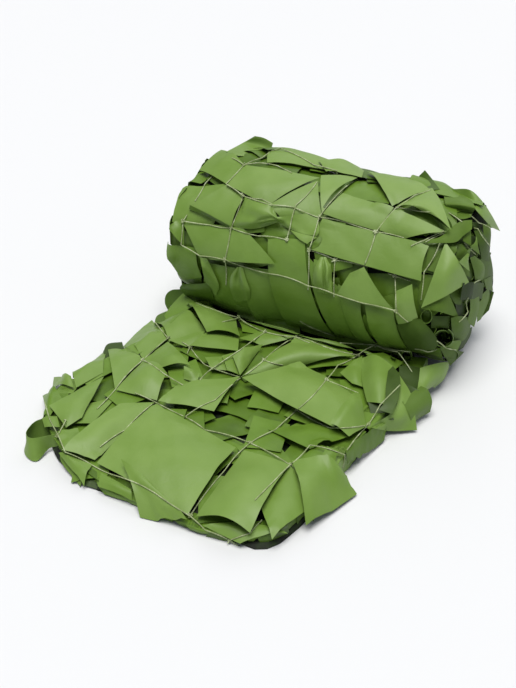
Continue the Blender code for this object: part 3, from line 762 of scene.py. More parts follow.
roll.height = np.maximum(roll.height, deep_roll.height)
seen_films(roll, ROLL_STRIPS)
BACK_STRIPS = (
    # name, along, around from the front, turned, length
    ("back_1", -0.155, 0.372, 20, 0.150),
    ("back_2", -0.010, 0.392, -14, 0.170),
    ("back_3", 0.100, 0.476, 18, 0.160),
)
back_seed = np.random.default_rng(31)
back_places = roll_places(back_seed, 112, 258, 0.080, 0.050, 35)
scatter(deep_roll, back_seed, back_places, "roll_back_films", 0.009)
roll.height = np.maximum(roll.height, deep_roll.height)
placed_films(roll, BACK_STRIPS)


# ---------------------------------------------------------------- films on the right end
# The end of a film strip that stands out of the netting's turns and lies flat on the end face.
# It is cut from the same film, and held only where the turns grip it.
END_STRIPS = (
    # name, corner, corner, corner, corner, corner lifts, crown, tone
    ("end_upper", (454, 243), (468, 250), (469, 271), (458, 262), (0, 2, 2, 0), 2, 0.3),
)
seen_films(right_end, END_STRIPS)


# ---------------------------------------------------------------- films of the loose end
# The same cut strips over the folded layers that lie in front. Knots pull them down along the edge,
# where lower strips turn over the folds and hang down to the floor.
LOOSE_STRIPS = (
    # name, corner, corner, corner, corner, corner lifts, crown, tone
    ("low_left_a", (62, 453), (92, 465), (84, 486), (60, 463), (0, 3, 0, 0), 5, 0.35),
    ("low_left_b", (101, 473), (131, 490), (132, 503), (98, 489), (3, 3, 0, 0), 4, 0.25),
    ("low_front", (203, 531), (246, 522), (288, 536), (240, 548), (0, 0, 1, 1), 3, 0.3),
    ("under_right", (344, 452), (388, 428), (384, 442), (347, 474), (3, 3, 0, 0), 3, -0.05),
    ("stripe_a", (298, 462), (317, 444), (328, 448), (313, 468), (2, 4, 4, 2), 2, 0.1),
    ("stripe_b", (314, 469), (327, 447), (338, 451), (333, 470), (3, 6, 6, 3), 2, 0.15),
    ("inner_left", (62, 424), (90, 404), (118, 396), (92, 424), (0, 0, 0, 0), 3, 0.3),
    ("inner_dark", (104, 396), (125, 380), (150, 398), (120, 408), (0, 0, 0, 0), 2, 0.1),
    ("inner_back", (168, 372), (196, 360), (204, 380), (172, 388), (0, 0, 0, 0), 2, 0.15),
    ("small_a", (205, 358), (223, 357), (229, 371), (211, 370), (1, 2, 1, 0), 3, 0.4),
    ("small_b", (222, 357), (238, 352), (241, 376), (227, 371), (2, 2, 0, 0), 3, 0.35),
    ("inner_right", (300, 352), (352, 352), (356, 366), (306, 370), (0, 0, 0, 0), 2, 0.1),
    ("inner_front", (268, 430), (312, 424), (352, 436), (310, 450), (0, 0, 0, 0), 2, 0.1),
    ("nip", (240, 318), (346, 340), (350, 354), (242, 332), (0, 0, 2, 2), 3, 0.2),
    ("near_roll", (245, 320), (264, 318), (313, 327), (296, 336), (3, 2, 2, 3), 4, 0.4),
    ("near_mid", (238, 339), (262, 332), (297, 336), (262, 346), (2, 3, 2, 3), 3, 0.35),
    ("near_right", (297, 336), (342, 333), (358, 352), (338, 347), (3, 3, 3, 6), 4, 0.4),
    ("far_right", (356, 350), (374, 345), (400, 352), (388, 362), (2, 2, 2, 4), 4, 0.3),
    ("foot_strip", (404, 350), (426, 354), (427, 365), (404, 363), (3, 3, 3, 3), 3, 0.4),
    ("edge_left", (123, 347), (152, 320), (167, 340), (143, 360), (2, 2, 0, 0), 4, 0.4),
    ("rear_left", (157, 324), (190, 313), (206, 331), (169, 342), (2, 3, 3, 0), 5, 0.4),
    ("rear_fold", (169, 341), (206, 331), (197, 345), (186, 347), (0, 3, 2, 3), 3, 0.35),
    ("side_field", (73, 378), (106, 350), (103, 373), (76, 388), (3, 3, 1, 1), 4, 0.4),
    ("shoulder", (108, 350), (129, 353), (143, 360), (115, 390), (4, 2, 0, 0), 4, 0.45),
    ("arrow_low", (206, 333), (239, 333), (238, 352), (190, 346), (3, 4, 6, 2), 4, 0.4),
    ("arrow", (195, 303), (236, 320), (240, 338), (207, 334), (9, 4, 5, 3), 4, 0.4),
    ("crumple", (144, 360), (168, 342), (190, 366), (162, 370), (0, 0, 9, 7), 7, 0.4),
    ("arched", (116, 390), (144, 361), (167, 370), (157, 401), (2, 0, 6, 3), 12, 0.45),
    ("curl_mid", (184, 371), (200, 374), (197, 383), (184, 379), (3, 6, 3, 0), 4, 0.4),
    ("lens_leaf", (232, 356), (263, 345), (252, 360), (240, 377), (2, 3, 1, 0), 4, 0.4),
    ("mid_left", (158, 402), (176, 386), (240, 377), (214, 412), (0, 4, 0, 3), 5, 0.45),
    ("slit_leaf", (243, 376), (296, 338), (356, 356), (301, 367), (0, 6, 6, 2), 10, 0.4),
    ("small_left", (54, 377), (71, 378), (74, 388), (52, 396), (5, 3, 2, 2), 2, 0.45),
    ("tip_left", (43, 398), (54, 391), (62, 399), (48, 420), (4, 3, 2, 3), 2, 0.2),
    ("block", (49, 406), (104, 376), (82, 418), (66, 428), (4, 5, 3, 2), 8, 0.4),
    ("left_inner", (42, 420), (57, 416), (60, 428), (45, 430), (4, 4, 3, 3), 2, 0.35),
    ("left_loop", (58, 434), (78, 430), (84, 447), (64, 452), (4, 2, 0, 3), 4, 0.3),
    ("band_low", (62, 450), (120, 404), (154, 403), (95, 462), (2, 6, 0, 0), 7, 0.5),
    ("band_wide", (97, 463), (157, 407), (236, 448), (188, 515), (3, 2, 5, 0), 9, 0.45),
    ("front_leaf", (121, 459), (158, 491), (187, 520), (140, 517), (9, 3, 1, 1), 4, 0.4),
    ("right_wall", (340, 373), (362, 357), (364, 388), (352, 384), (3, 8, 4, 6), 5, 0.35),
    ("centre", (242, 378), (300, 367), (362, 400), (334, 428), (0, 4, 8, 9), 13, 0.5),
    ("centre_edge", (330, 428), (358, 396), (366, 427), (349, 437), (8, 5, 2, 3), 4, 0.4),
    ("front_right_a", (258, 500), (290, 466), (314, 506), (272, 541), (6, 3, 3, 1), 7, 0.35),
    ("front_wide", (196, 518), (244, 449), (290, 466), (250, 533), (1, 3, 2, 9), 9, 0.45),
    ("front_right", (292, 462), (342, 468), (357, 494), (306, 522), (4, 6, 3, 2), 8, 0.4),
    ("dark_behind", (366, 355), (384, 352), (404, 362), (390, 374), (5, 5, 5, 6), 4, 0.15),
)


def loose_places(seed):
    """Middles, turns and lengths of strips over the loose end, further in near its tip."""
    places = []
    for row, y in enumerate(np.arange(-0.540, -0.12, 0.050)):
        left, right, _ = loose_span(y)
        from_left, from_right = (0.05, 0.04) if y > -0.5 else (0.095, 0.07)
        for x in np.arange(left + from_left + 0.03 * (row % 2), right - from_right, 0.070):
            turned = seed.choice([0, 90]) + seed.uniform(-40, 40)
            x_in = x + seed.uniform(-0.01, 0.01)
            places.append((x_in, min(y, -0.165), turned, seed.uniform(0.070, 0.10)))
    return [places[k] for k in seed.permutation(len(places))]


loose_seed = np.random.default_rng(41)
scatter(deep_loose, loose_seed, loose_places(loose_seed), "loose_end_lower_films", 0.005)


def run_of(points):
    """How far along a path each of its points lies."""
    return np.concatenate([[0], np.cumsum(np.linalg.norm(np.diff(points, axis=0), axis=1))])


def loose_outline():
    """The loose end's outline from the left rear round the tip to the right rear, smoothed."""
    left = [(row[1], row[0], row[3]) for row in reversed(LOOSE_END[1:])]
    right = [(row[2], row[0], row[3]) for row in LOOSE_END[1:]]
    corners = np.array(left + [(0.015, -0.605, 0.012), (0.085, -0.605, 0.012)] + right)
    gone = run_of(corners[:, :2])
    places = np.arange(0, gone[-1], 0.004)
    path = np.stack([np.interp(places, gone, corners[:, axis]) for axis in range(3)], -1)
    for _ in range(40):
        path[1:-1] = (path[:-2] + path[2:]) / 2
    return places, path


rim_places, rim_path = loose_outline()


def rim(t):
    """A place on the loose end's outline: x, y and the height there."""
    return [np.interp(t, rim_places, rim_path[:, axis]) for axis in range(3)]


ON_TOP = 0.45  # the part of a falling strip's length that lies on the top
ASIDE = 0.03  # how far to each side the outline's direction is taken
TOP_SHARE = 0.92  # where it starts, as a part of the loose end's height


def edge_fall(t, width, skew, stand_off, inset, drop, seed):
    """A strip's end that comes off the top, turns over the folded edge and hangs down beside it."""
    v = (np.linspace(-0.5, 0.5, 12) * width)[None]
    s = np.linspace(0, 1, 22)[:, None]
    x, y, h = rim(t + v + skew * s)
    x0, y0, _ = rim(t + v + skew * s - ASIDE)
    x1, y1, _ = rim(t + v + skew * s + ASIDE)
    along = np.stack([x1 - x0, y1 - y0], -1)
    along /= np.linalg.norm(along, axis=-1, keepdims=True)
    out = np.stack([along[..., 1], -along[..., 0]], -1)
    if ((out[0, 0] * np.array([x[0, 0], y[0, 0] + 0.35])).sum()) < 0:
        out = -out
    over = np.clip(s / ON_TOP, 0, 1)
    down = np.clip((s - ON_TOP) / (1 - ON_TOP), 0, 1) * math.pi / 2
    uneven = 0.0012 * wave(seed, v + 0 * s, s * 0.07 + 0 * v, (0.021, 0.034, 0.055)) * (0.3 + s)
    off = -inset * (1 - over) + stand_off * np.sin(down) + uneven - 0.004
    z = h * (TOP_SHARE - drop * (1 - np.cos(down)))
    return np.stack([x + out[..., 0] * off, y + out[..., 1] * off, np.maximum(z, 0.0012)], -1)


fall_seed = np.random.default_rng(43)
grids, tones = [], []
for t in np.arange(0.06, rim_places[-1] - 0.04, 0.036):
    at_front = rim(t)[1] < -0.50
    points = edge_fall(
        t + fall_seed.uniform(-0.012, 0.012),
        width=fall_seed.uniform(0.040, 0.060),
        skew=fall_seed.uniform(-0.03, 0.03),
        stand_off=fall_seed.uniform(-0.006, 0.0) if at_front else fall_seed.uniform(-0.002, 0.007),
        inset=fall_seed.uniform(0.02, 0.04),
        drop=fall_seed.uniform(0.55, 0.92),
        seed=fall_seed,
    )
    grids.append(facing(points, points + np.array([0, 0, 0.001])))
    # Strips hanging at the front take lower tones: painted shade for faces turned from the overhead light.
    # Elsewhere tones vary at random.
    tones.append(fall_seed.uniform(-0.15, 0.15) if at_front else fall_seed.uniform(0.0, 0.4))
film_piece("loose_end_edge_films", grids, tones)
loose.height = np.maximum(loose.height, deep_loose.height)
seen_films(loose, LOOSE_STRIPS)


# ---------------------------------------------------------------- films that stand out of the end
# Ends of film strips that come out between the turns, fold over and lie across each other. Each is
# a ribbon through spots in the photograph, at a distance out of the rounded end face.
END_RADIUS, END_FROM, END_REACH, END_SQUARENESS = 0.138, 0.165, 0.104, 5.0


def at_right_end(x, y, out):
    """Where the camera's ray at a pixel meets the rounded right end, this many mm out of it."""
    spots = EYE + ray((x, y)) * np.linspace(1.5, 2.2, 1400)[:, None]
    across = np.hypot(spots[:, 1], spots[:, 2] - AXIS_HEIGHT) / (END_RADIUS + out * MM)
    along = np.maximum(spots[:, 0] - END_FROM, 0) / (END_REACH + out * MM)
    inside = across**END_SQUARENESS + along**END_SQUARENESS
    return spots[np.argmax(inside < 1) if (inside < 1).any() else np.argmin(inside)]


FOLD_STEP = 0.0025  # the finer grid of tight folds


def ribbon(rails, at, crown, step=0.0035):
    """A film through two or more rails of spots, bowed by its crown."""
    lines = [np.array([at(*spot) for spot in rail]) for rail in rails]
    longest = max(np.linalg.norm(np.diff(line, axis=0), axis=1).sum() for line in lines)
    rows = max(6, round(longest / step) + 1)
    lines = np.array([curved(len(line), rows) @ line for line in lines])
    widest = np.linalg.norm(np.diff(lines, axis=0), axis=-1).sum(0).max()
    columns = max(5, round(widest / step) + 1)
    points = np.tensordot(curved(len(rails), columns), lines, axes=(1, 0)).transpose(1, 0, 2)
    normal = np.cross(points[-1, -1] - points[0, 0], points[-1, 0] - points[0, -1])
    normal *= np.sign(normal @ BACK) / (np.linalg.norm(normal) + 1e-12)
    u, v = np.meshgrid(np.linspace(0, 1, rows), np.linspace(0, 1, columns), indexing="ij")
    return points + normal * (crown * MM * np.sin(math.pi * u) * np.sin(math.pi * v))[..., None]


def to_camera(points):
    """The grid turned so that the film's face is towards the camera."""
    return facing(points, points + BACK * 0.001)


END_LEAVES = (
    # rails of (pixel, pixel, mm out of the end), crown, tone; negative tones are painted shade deep in the
    # end
    (((420, 282, -3), (418, 300, -3)), ((436, 282, -3), (432, 304, -3)), 2, 0.3),
    (((464, 286, -4), (461, 302, -4)), ((476, 283, -4), (472, 300, -4)), 1, -0.1),
    (((455, 303, -4), (458, 320, -4)), ((465, 303, -4), (470, 318, -4)), 1, -0.1),
    (((476, 262, -7), (474, 312, -7)), ((490, 262, -5), (493, 282, -5), (488, 306, -5)), 2, -0.2),
    (((460, 200, -4), (466, 226, -8)), ((486, 205, -3), (494, 228, -4)), 0, -0.3),
    (((472, 222, -2), (479, 246, -2)), ((486, 222, -2), (490, 238, -2), (489, 262, -2)), 2, 0.0),
    (((462, 264, -2), (463, 288, -2)), ((476, 262, -2), (476, 288, -2)), 2, 0.1),
    (((470, 236, -3), (470, 260, -3)), ((480, 236, -3), (480, 262, -3)), 1, 0.0),
    (((431, 316, -2), (431, 328, -2)), ((450, 316, -2), (449, 328, -2)), 3, 0.05),
    (((459, 334, -2), (456, 352, -2)), ((472, 327, -2), (470, 336, -2), (463, 348, -2)), 2, 0.0),
    (((444, 354, 0), (450, 366, 0)), ((456, 350, 4), (464, 352, 4)), 2, 0.2),
    (((478, 262, 4), (483, 272, 6), (481, 286, 5)),
     ((489, 250, 4), (492, 264, 6), (493, 276, 6), (491, 290, 5)), 2, 0.2),
    (((463, 283, 5), (460, 300, 4)), ((474, 282, 7), (472, 299, 6)), 1, -0.25),
    (((473, 282, 6), (471, 299, 6)), ((484, 283, 7), (482, 299, 7)), 1, 0.05),
    (((484, 280, 7), (486, 289, 7)), ((491, 276, 8), (493, 291, 7)), 1, 0.35),
    (((490, 290, 2), (481, 318, 2)), ((494, 292, 2), (489, 310, 2)), 1, 0.05),
    (((480, 297, 4), (478, 308, 4), (477, 322, 3)), ((489, 287, 6), (489, 300, 6), (481, 319, 5)), 2, 0.45),
    (((483, 225, 3), (484, 240, 4)), ((490, 224, 5), (491, 234, 6), (490, 246, 6)), 3, 0.3),
    (((474, 231, 4), (479, 246, 5), (482, 262, 4)), ((481, 230, 7), (488, 243, 8), (490, 264, 6)), 4, 0.1),
    (((470, 258, 2), (474, 272, 2), (475, 284, 2)), ((475, 256, 5), (484, 265, 7), (484, 279, 6)), 4, 0.4),
    (((476, 236, 8), (475, 242, 7), (470, 247, 5)), ((477, 238, 9), (478, 246, 9), (480, 255, 8)), 1, 0.6),
    (((462, 235, 2), (463, 241, 2)), ((471, 231, 3), (471, 246, 3)), 2, 0.45),
    (((448, 293, -3), (455, 304, -3)), ((464, 286, -2), (461, 305, 0)), 1, 0.2),
    (((462, 267, -3), (464, 275, -3)), ((469, 269, 0), (470, 277, 0)), 1, 0.35),
    (((454, 256, -3), (458, 268, -3)), ((468, 260, 0), (469, 270, -1)), 2, 0.15),
    (((451, 243, -3), (457, 250, -2), (454, 257, -2)),
     ((462, 244, 0), (468, 252, 2), (468, 261, 1)), 3, 0.3),
    (((444, 243, -2), (449, 251, -2)), ((452, 243, 0), (457, 250, 3), (453, 256, 0)), 2, 0.4),
    (((440, 348, 2), (445, 358, 2)), ((452, 341, 3), (457, 353, 4)), 2, 0.2),
    (((441, 349, 4), (448, 349, 6)), ((452, 341, 6), (461, 341, 6), (457, 351, 8)), 3, 0.5),
    (((443, 247, -3), (427, 270, -3)), ((444, 246, -2), (437, 273, -3)), 1, 0.35),
    (((427, 246, -1), (426, 270, -2)), ((439, 243, -1), (431, 262, -2)), 1, 0.25),
    (((424, 278, -2), (419, 300, -2), (421, 308, -2)),
     ((435, 279, -1), (429, 298, -1), (422, 308, -2)), 2, 0.35),
    (((415, 208, 8), (430, 208, 11), (442, 213, 12), (450, 221, 12), (453, 230, 9)),
     ((423, 212, 4), (430, 215, 4), (437, 220, 4), (445, 227, 4), (452, 231, 7)), 0, 0.1),
    (((430, 217, 4), (445, 225, 5), (454, 231, 8)), ((437, 222, 4), (442, 230, 4), (447, 234, 6)), 0, 0.6),
    (((424, 240, 6), (440, 237, 8), (453, 226, 9), (462, 221, 10), (472, 220, 11)),
     ((424, 243, 6), (442, 243, 8), (456, 242, 8), (463, 236, 9), (472, 229, 10)), 2, 0.4),
    (((444, 196, 8), (460, 195, 12), (472, 201, 12)), ((445, 203, 12), (461, 204, 16), (475, 208, 15)),
     ((448, 210, 2), (461, 211, 1), (473, 212, 2)),
     ((450, 213, 7), (461, 219, 9), (471, 217, 10)), 0, 0.45),
)
grids = [to_camera(ribbon(rails, at_right_end, crown)) for *rails, crown, _ in END_LEAVES]
tones = [row[-1] for row in END_LEAVES]
# The leaves take the darker film copy: painted shade of the end's recess.
film_piece("right_end_leaves", grids, tones, face=film_inner_painted_shade)
END_LARGE = (
    # node, rails of (pixel, pixel, mm out of the end), crown, tone, film
    ("end_bulge", ((397, 325, 5), (402, 338, 7), (409, 351, 4)),
     ((409, 320, 7), (420, 336, 11), (422, 353, 6)),
     ((420, 319, 6), (431, 330, 9), (438, 342, 7), (434, 351, 4)), 2, 0.1, film_inner_painted_shade),
    ("end_leaf", ((445, 243, 6), (433, 276, 7), (421, 308, 5)),
     ((446, 243, 6), (446, 270, 9), (444, 297, 7)),
     ((447, 244, 6), (459, 262, 9), (469, 282, 7)), 2, 0.5, film_face),
    ("end_lower", ((430, 302, 1), (439, 299, 2), (449, 294, 2)),
     ((421, 309, 1), (440, 312, 4), (459, 318, 4)),
     2, 0.4, film_inner_painted_shade),
    ("end_outer", ((470, 297, 4), (470, 310, 5), (467, 322, 3)),
     ((479, 293, 7), (479, 308, 7), (474, 327, 5)),
     2, 0.45, film_inner_painted_shade),
    ("end_middle", ((451, 318, 1), (452, 330, 2), (456, 341, 1)),
     ((460, 316, 5), (462, 328, 6), (462, 341, 3)),
     ((470, 318, 2), (470, 329, 3), (466, 338, 2)), 2, 0.25, film_inner_painted_shade),
    ("top_right", ((440, 190, 4), (455, 189, 6), (470, 190, 7), (482, 201, 8), (492, 216, 8),
     (500, 231, 6)),
     ((443, 194, 3), (457, 197, 5), (469, 201, 6), (476, 210, 6), (483, 218, 6),
     (491, 227, 5)), 2, 0.35, film_face),
)
for name, *rails, crown, tone, film in END_LARGE:
    points = to_camera(ribbon(rails, at_right_end, crown))
    film_piece("film_" + name, [points], [tone], ["strip_" + name], face=film)


# ---------------------------------------------------------------- pinched and curled films
# Film strips that a knot gathers into a bow or a bunch of pleats, and strip ends that curl up into
# loops. Each is a ribbon through spots in the photograph. Those over laid films are kept clear of them.
# Dark-toned ribbons among them, and the darker insides of the loops, are painted shade.
def laid_tree():
    """All that has been laid so far, for rays to meet."""
    points, faces, count = [], [], 0
    for more, quads in everything:
        points.append(more)
        faces.append(quads + count)
        count += len(more)
    return BVHTree.FromPolygons(np.concatenate(points).tolist(), np.concatenate(faces).tolist())


laid = laid_tree()


DEEPEST = 0.010  # a ray that slips through a gap counts no deeper than this below the roll's surface


def over_laid(x, y, up):
    """Where the camera's ray at a pixel meets the laid films, this many mm nearer."""
    way = ray((x, y))
    far = laid.ray_cast(EYE.tolist(), way.tolist())[3]
    wound = np.linalg.norm(roll.point(*roll.cross(way, 0.004)) - EYE)
    return EYE + way * (min(far or wound, wound + DEEPEST) - up * MM)


def at_height(x, y, up):
    """Where the camera's ray at a pixel is this many mm above the floor."""
    way = ray((x, y))
    return EYE + way * (up * MM - EYE[2]) / way[2]


CLEARANCE = 0.0009


def clear_of_laid(points):
    """The grid, brought nearer to the camera wherever it would lie behind what has been laid."""
    flat = points.reshape(-1, 3).copy()
    for k, point in enumerate(flat):
        way = point - EYE
        far = np.linalg.norm(way)
        way /= far
        hit = laid.ray_cast(EYE.tolist(), way.tolist())[3]
        if hit is not None and hit < far + CLEARANCE:
            flat[k] = EYE + way * (hit - CLEARANCE)
    return flat.reshape(points.shape)


def hoop(x, y, wide, high, out, deep):
    """Rails of a strip end curled round into a loop: flared lip, rim and inside."""
    rails = []
    for part, up in ((1.03, out - 1), (1.0, out), (0.93, out - 3), (0.7, deep)):
        rail = []
        for t in np.radians(np.arange(-60, 330, 24)):
            tight = 1.08 - 0.045 * t
            across, upward = wide * part * tight * math.cos(t), high * part * tight * math.sin(t)
            rail.append((x + across, y + upward, up - 1.5 * t))
        rails.append(rail)
    return rails


# Rows with negative tones are dark ribbons laid in gaps, under edges and inside curls: painted shade.
ROLL_FOLDS_AND_PAINTED_SHADE = (
    # rails of (pixel, pixel, mm over the films below), crown, tone
    (((245, 199, 2), (258, 200, 7), (270, 206, 6), (278, 218, 3)),
     ((241, 207, 3), (254, 208, 9), (267, 212, 8), (278, 219, 4)),
     ((237, 215, 3), (252, 216, 6), (266, 217, 5), (278, 220, 4)),
     ((234, 221, 3), (250, 223, 7), (265, 222, 6), (278, 221, 4)),
     ((232, 226, 1), (249, 229, 2), (263, 227, 2), (278, 222, 2)), 0, 0.42),
    (((277, 217, 3), (288, 216, 4), (303, 214, 5), (318, 215, 4)),
     ((277, 219, 4), (289, 221, 8), (304, 222, 9), (319, 224, 7)),
     ((277, 221, 4), (290, 226, 6), (304, 230, 7), (319, 232, 5)),
     ((277, 222, 2), (290, 229, 2), (304, 234, 3), (317, 236, 3)), 0, 0.42),
    (((290, 230, 2), (303, 234, 3), (317, 237, 4)), ((291, 231, 3), (299, 239, 7), (307, 244, 6)), 1, 0.45),
    (((307, 244, 6), (314, 242, 4), (320, 236, 2)), ((309, 250, 2), (318, 246, 1), (322, 238, 1)), 0, 0.0),
    (((320, 257, 3), (315, 268, 4), (313, 280, 4), (315, 291, 2)),
     ((321, 257, 4), (318, 268, 9), (317, 280, 10), (319, 292, 5)),
     ((322, 257, 4), (322, 268, 6), (322, 280, 7), (323, 293, 4)),
     ((323, 257, 4), (324, 268, 1), (324, 280, 1), (325, 294, 2)),
     ((324, 257, 4), (327, 268, 7), (327, 280, 8), (328, 294, 5)),
     ((326, 257, 3), (331, 268, 5), (332, 280, 5), (333, 294, 2)), 0, 0.42),
    (((237, 267, 2), (231, 276, 4), (230, 288, 5), (234, 300, 2)),
     ((238, 267, 4), (234, 277, 7), (234, 289, 9), (238, 302, 5)),
     ((239, 267, 4), (238, 278, 2), (240, 289, 6), (243, 301, 4)),
     ((241, 267, 4), (242, 278, 6), (245, 289, 8), (247, 300, 4)),
     ((243, 268, 2), (246, 279, 3), (250, 290, 3), (250, 298, 1)), 0, 0.35),
    (((200, 257, 2), (202, 268, 4), (205, 280, 6), (210, 293, 5)),
     ((207, 259, 2), (213, 271, 5), (219, 286, 7), (216, 295, 4)), 1, 0.35),
    (((182, 284, 6), (195, 284, 9), (208, 283, 5)), ((180, 289, 9), (194, 292, 12), (212, 292, 8)),
     ((187, 297, 5), (200, 301, 6), (215, 301, 3)), 0, -0.15),
    (((184, 219, 2), (176, 221, 4), (170, 225, 6)), ((184, 246, 2), (176, 238, 4), (169, 229, 6)), 2, 0.25),
    (((190, 205, 1), (208, 214, 2), (230, 226, 2)), ((189, 209, 2), (206, 216, 4), (229, 228, 2)), 0, -0.3),
    (((358, 178, 4), (344, 184, 4), (332, 194, 3), (323, 207, 1)),
     ((359, 180, 1), (347, 187, 1), (335, 197, 0), (325, 208, 0)), 0, -0.2),
)
END_HOOPS = ((426, 316.5, 5.5, 7, 8, -8), (443, 338, 9.5, 9, 8, -12), (452, 355, 6, 4.5, 6, -6))
# Rows with negative tones are dark ribbons over the black slots and hollows: painted shade.
LOOSE_FOLDS_AND_PAINTED_SHADE = (
    # rails of (pixel, pixel, mm above the floor), crown, tone
    (((63, 432, 30), (46, 436, 31), (31, 438, 32), (26, 433, 34), (32, 424, 36), (41, 419, 36),
     (57, 417, 33)),
     ((65, 447, 10), (50, 448, 8), (37, 461, 2), (27, 457, 3), (25, 448, 5), (38, 440, 8),
     (56, 436, 9)), 0, 0.35),
    (((84, 465, 16), (101, 471, 16)), ((80, 484, 4), (97, 489, 3)), 0, -0.4),
    (((60, 452, 17), (62, 463, 10), (76, 481, 3)), ((72, 457, 18), (79, 469, 14), (80, 486, 3)),
     ((85, 462, 18), (86, 470, 14), (80, 487, 2)), 0, 0.3),
    (((99, 472, 17), (97, 483, 10), (104, 494, 3)), ((115, 480, 18), (113, 492, 11), (116, 498, 3)),
     ((131, 489, 18), (130, 498, 10), (133, 503, 3)), 0, 0.15),
    (((103, 352, 16), (108, 344, 20), (122, 342, 20)),
     ((106, 360, 12), (114, 357, 14), (126, 354, 16)), 0, -0.3),
    (((154, 325, 22), (157, 316, 28), (167, 311, 32)),
     ((162, 329, 20), (168, 323, 27), (177, 318, 31)), 0, 0.15),
    (((399, 366, 54), (412, 366, 54), (425, 369, 50)), ((400, 378, 48), (412, 382, 46), (421, 384, 42)),
     ((402, 388, 46), (413, 391, 42), (420, 392, 34)), 0, -0.3),
    (((396, 386, 50), (406, 384, 50), (420, 391, 44)),
     ((397, 402, 44), (408, 404, 40), (420, 408, 26)), 0, -0.2),
    (((393, 366, 71), (400, 377, 67), (399, 396, 59), (392, 414, 50)),
     ((388, 371, 70), (386, 386, 66), (385, 400, 60), (379, 410, 51)), 0, -0.1),
    (((368, 402, 46), (390, 404, 46)), ((372, 418, 36), (394, 420, 34)), 0, -0.4),
    (((421, 386, 44), (428, 390, 42), (432, 401, 30), (430, 412, 12)),
     ((410, 394, 46), (417, 401, 40), (420, 411, 26), (418, 419, 8)),
     ((402, 402, 48), (408, 412, 36), (411, 421, 20), (410, 427, 4)), 2, 0.35),
    (((194, 286, 68), (182, 289, 62), (172, 290, 54), (166, 295, 46), (165, 303, 38), (168, 310, 32)),
     ((196, 304, 56), (186, 302, 50), (178, 302, 46), (173, 304, 42), (170, 307, 37),
     (169, 312, 31)), 0, -0.3),
)
NIP_FOLDS = (
    # rails of (pixel, pixel, mm above the floor), crown, tone
    (((236, 305, 52), (250, 310, 52), (264, 317, 52)),
     ((238, 316, 38), (250, 320, 38), (262, 325, 38)), 1, 0.3),
    (((262, 316, 52), (282, 320, 52), (300, 324, 52)),
     ((264, 324, 38), (282, 329, 38), (300, 333, 38)), 1, 0.1),
    (((298, 323, 53), (318, 329, 53), (334, 333, 53)),
     ((302, 331, 38), (320, 336, 38), (338, 341, 38)), 1, 0.3),
    (((332, 333, 53), (350, 337, 53), (368, 343, 53)),
     ((336, 341, 38), (352, 346, 38), (366, 351, 38)), 1, 0.05),
    (((366, 342, 53), (384, 345, 53), (404, 350, 53)),
     ((368, 350, 40), (386, 352, 40), (402, 357, 40)), 1, 0.25),
)
LOOSE_LARGE = (
    # node, rails of (pixel, pixel, mm above the floor), crown, tone
    ("side_loop", ((420, 368, 56), (434, 364, 56), (447, 362, 46), (449, 367, 34)),
     ((419, 378, 48), (430, 376, 48), (441, 376, 36), (444, 379, 24)),
     ((417, 391, 40), (425, 391, 34), (432, 387, 22), (434, 388, 10)), 0, 0.45),
    ("rear_curl", ((162, 319, 26), (171, 306, 40), (183, 293, 58)),
     ((171, 323, 28), (182, 313, 42), (197, 304, 58)),
     2, 0.3),
    ("stand_leaf", ((362, 358, 57), (362, 380, 53), (367, 402, 45)),
     ((376, 355, 72), (377, 378, 66), (379, 403, 52)),
     ((393, 366, 67), (394, 385, 60), (390, 406, 47)), 2, 0.4),
    ("point_right", ((398, 376, 57), (399, 396, 51), (390, 414, 42), (367, 427, 26)),
     ((399, 376, 58), (404, 398, 49), (402, 417, 33), (390, 431, 10)),
     ((400, 376, 57), (410, 392, 47), (414, 408, 35), (417, 430, 6)), 0, 0.42),
)
LOOSE_HOOPS = ((395, 355, 5, 3.6, 12, 1), (406, 356, 5.5, 6, 12, 1))


def under_crest(x, y, up):
    """Where the camera's ray meets or passes the roll, this many mm over its mean radius."""
    return roll.point(*roll.cross(ray((x, y)), up * MM))


def cleared(table, at):
    """Tight folds from rows of rails, crown and tone, clear of what has been laid."""
    return [to_camera(clear_of_laid(ribbon(rails, at, crown, FOLD_STEP))) for *rails, crown, _ in table]


# A dark ribbon of tone -0.4 under the crest: painted shade where the crest overhangs.
shade_rails = (
    ((229, 154, 1), (245, 152, 1), (262, 151, 1), (273, 152, 1)),
    ((230, 162, 0), (246, 160, 0), (264, 160, 0), (274, 160, 0)),
)
grids = [ribbon(shade_rails, under_crest, 0)] + cleared(ROLL_FOLDS_AND_PAINTED_SHADE, over_laid)
film_piece("roll_folds_and_painted_shade", grids, [-0.4] + [row[-1] for row in ROLL_FOLDS_AND_PAINTED_SHADE])
crest_rails = (
    ((226, 152, 6), (241, 156, 8), (268, 154, 8)),
    ((241, 144, 14), (252, 146, 15), (271, 149, 13)),
    ((255, 136, 19), (264, 138, 19), (273, 143, 15)),
)
points = to_camera(ribbon(crest_rails, under_crest, 1))
film_piece("film_crest_far", [points], [0.45], ["strip_crest_far"])


def painted_shade_inside_loop(points):
    """Tones of a loop: its own tone at the lip, darker inside as painted shade."""
    return np.interp(np.linspace(0, 1, points.shape[1]), (0, 0.45, 1), (0.45, 0.35, -0.4))[None]


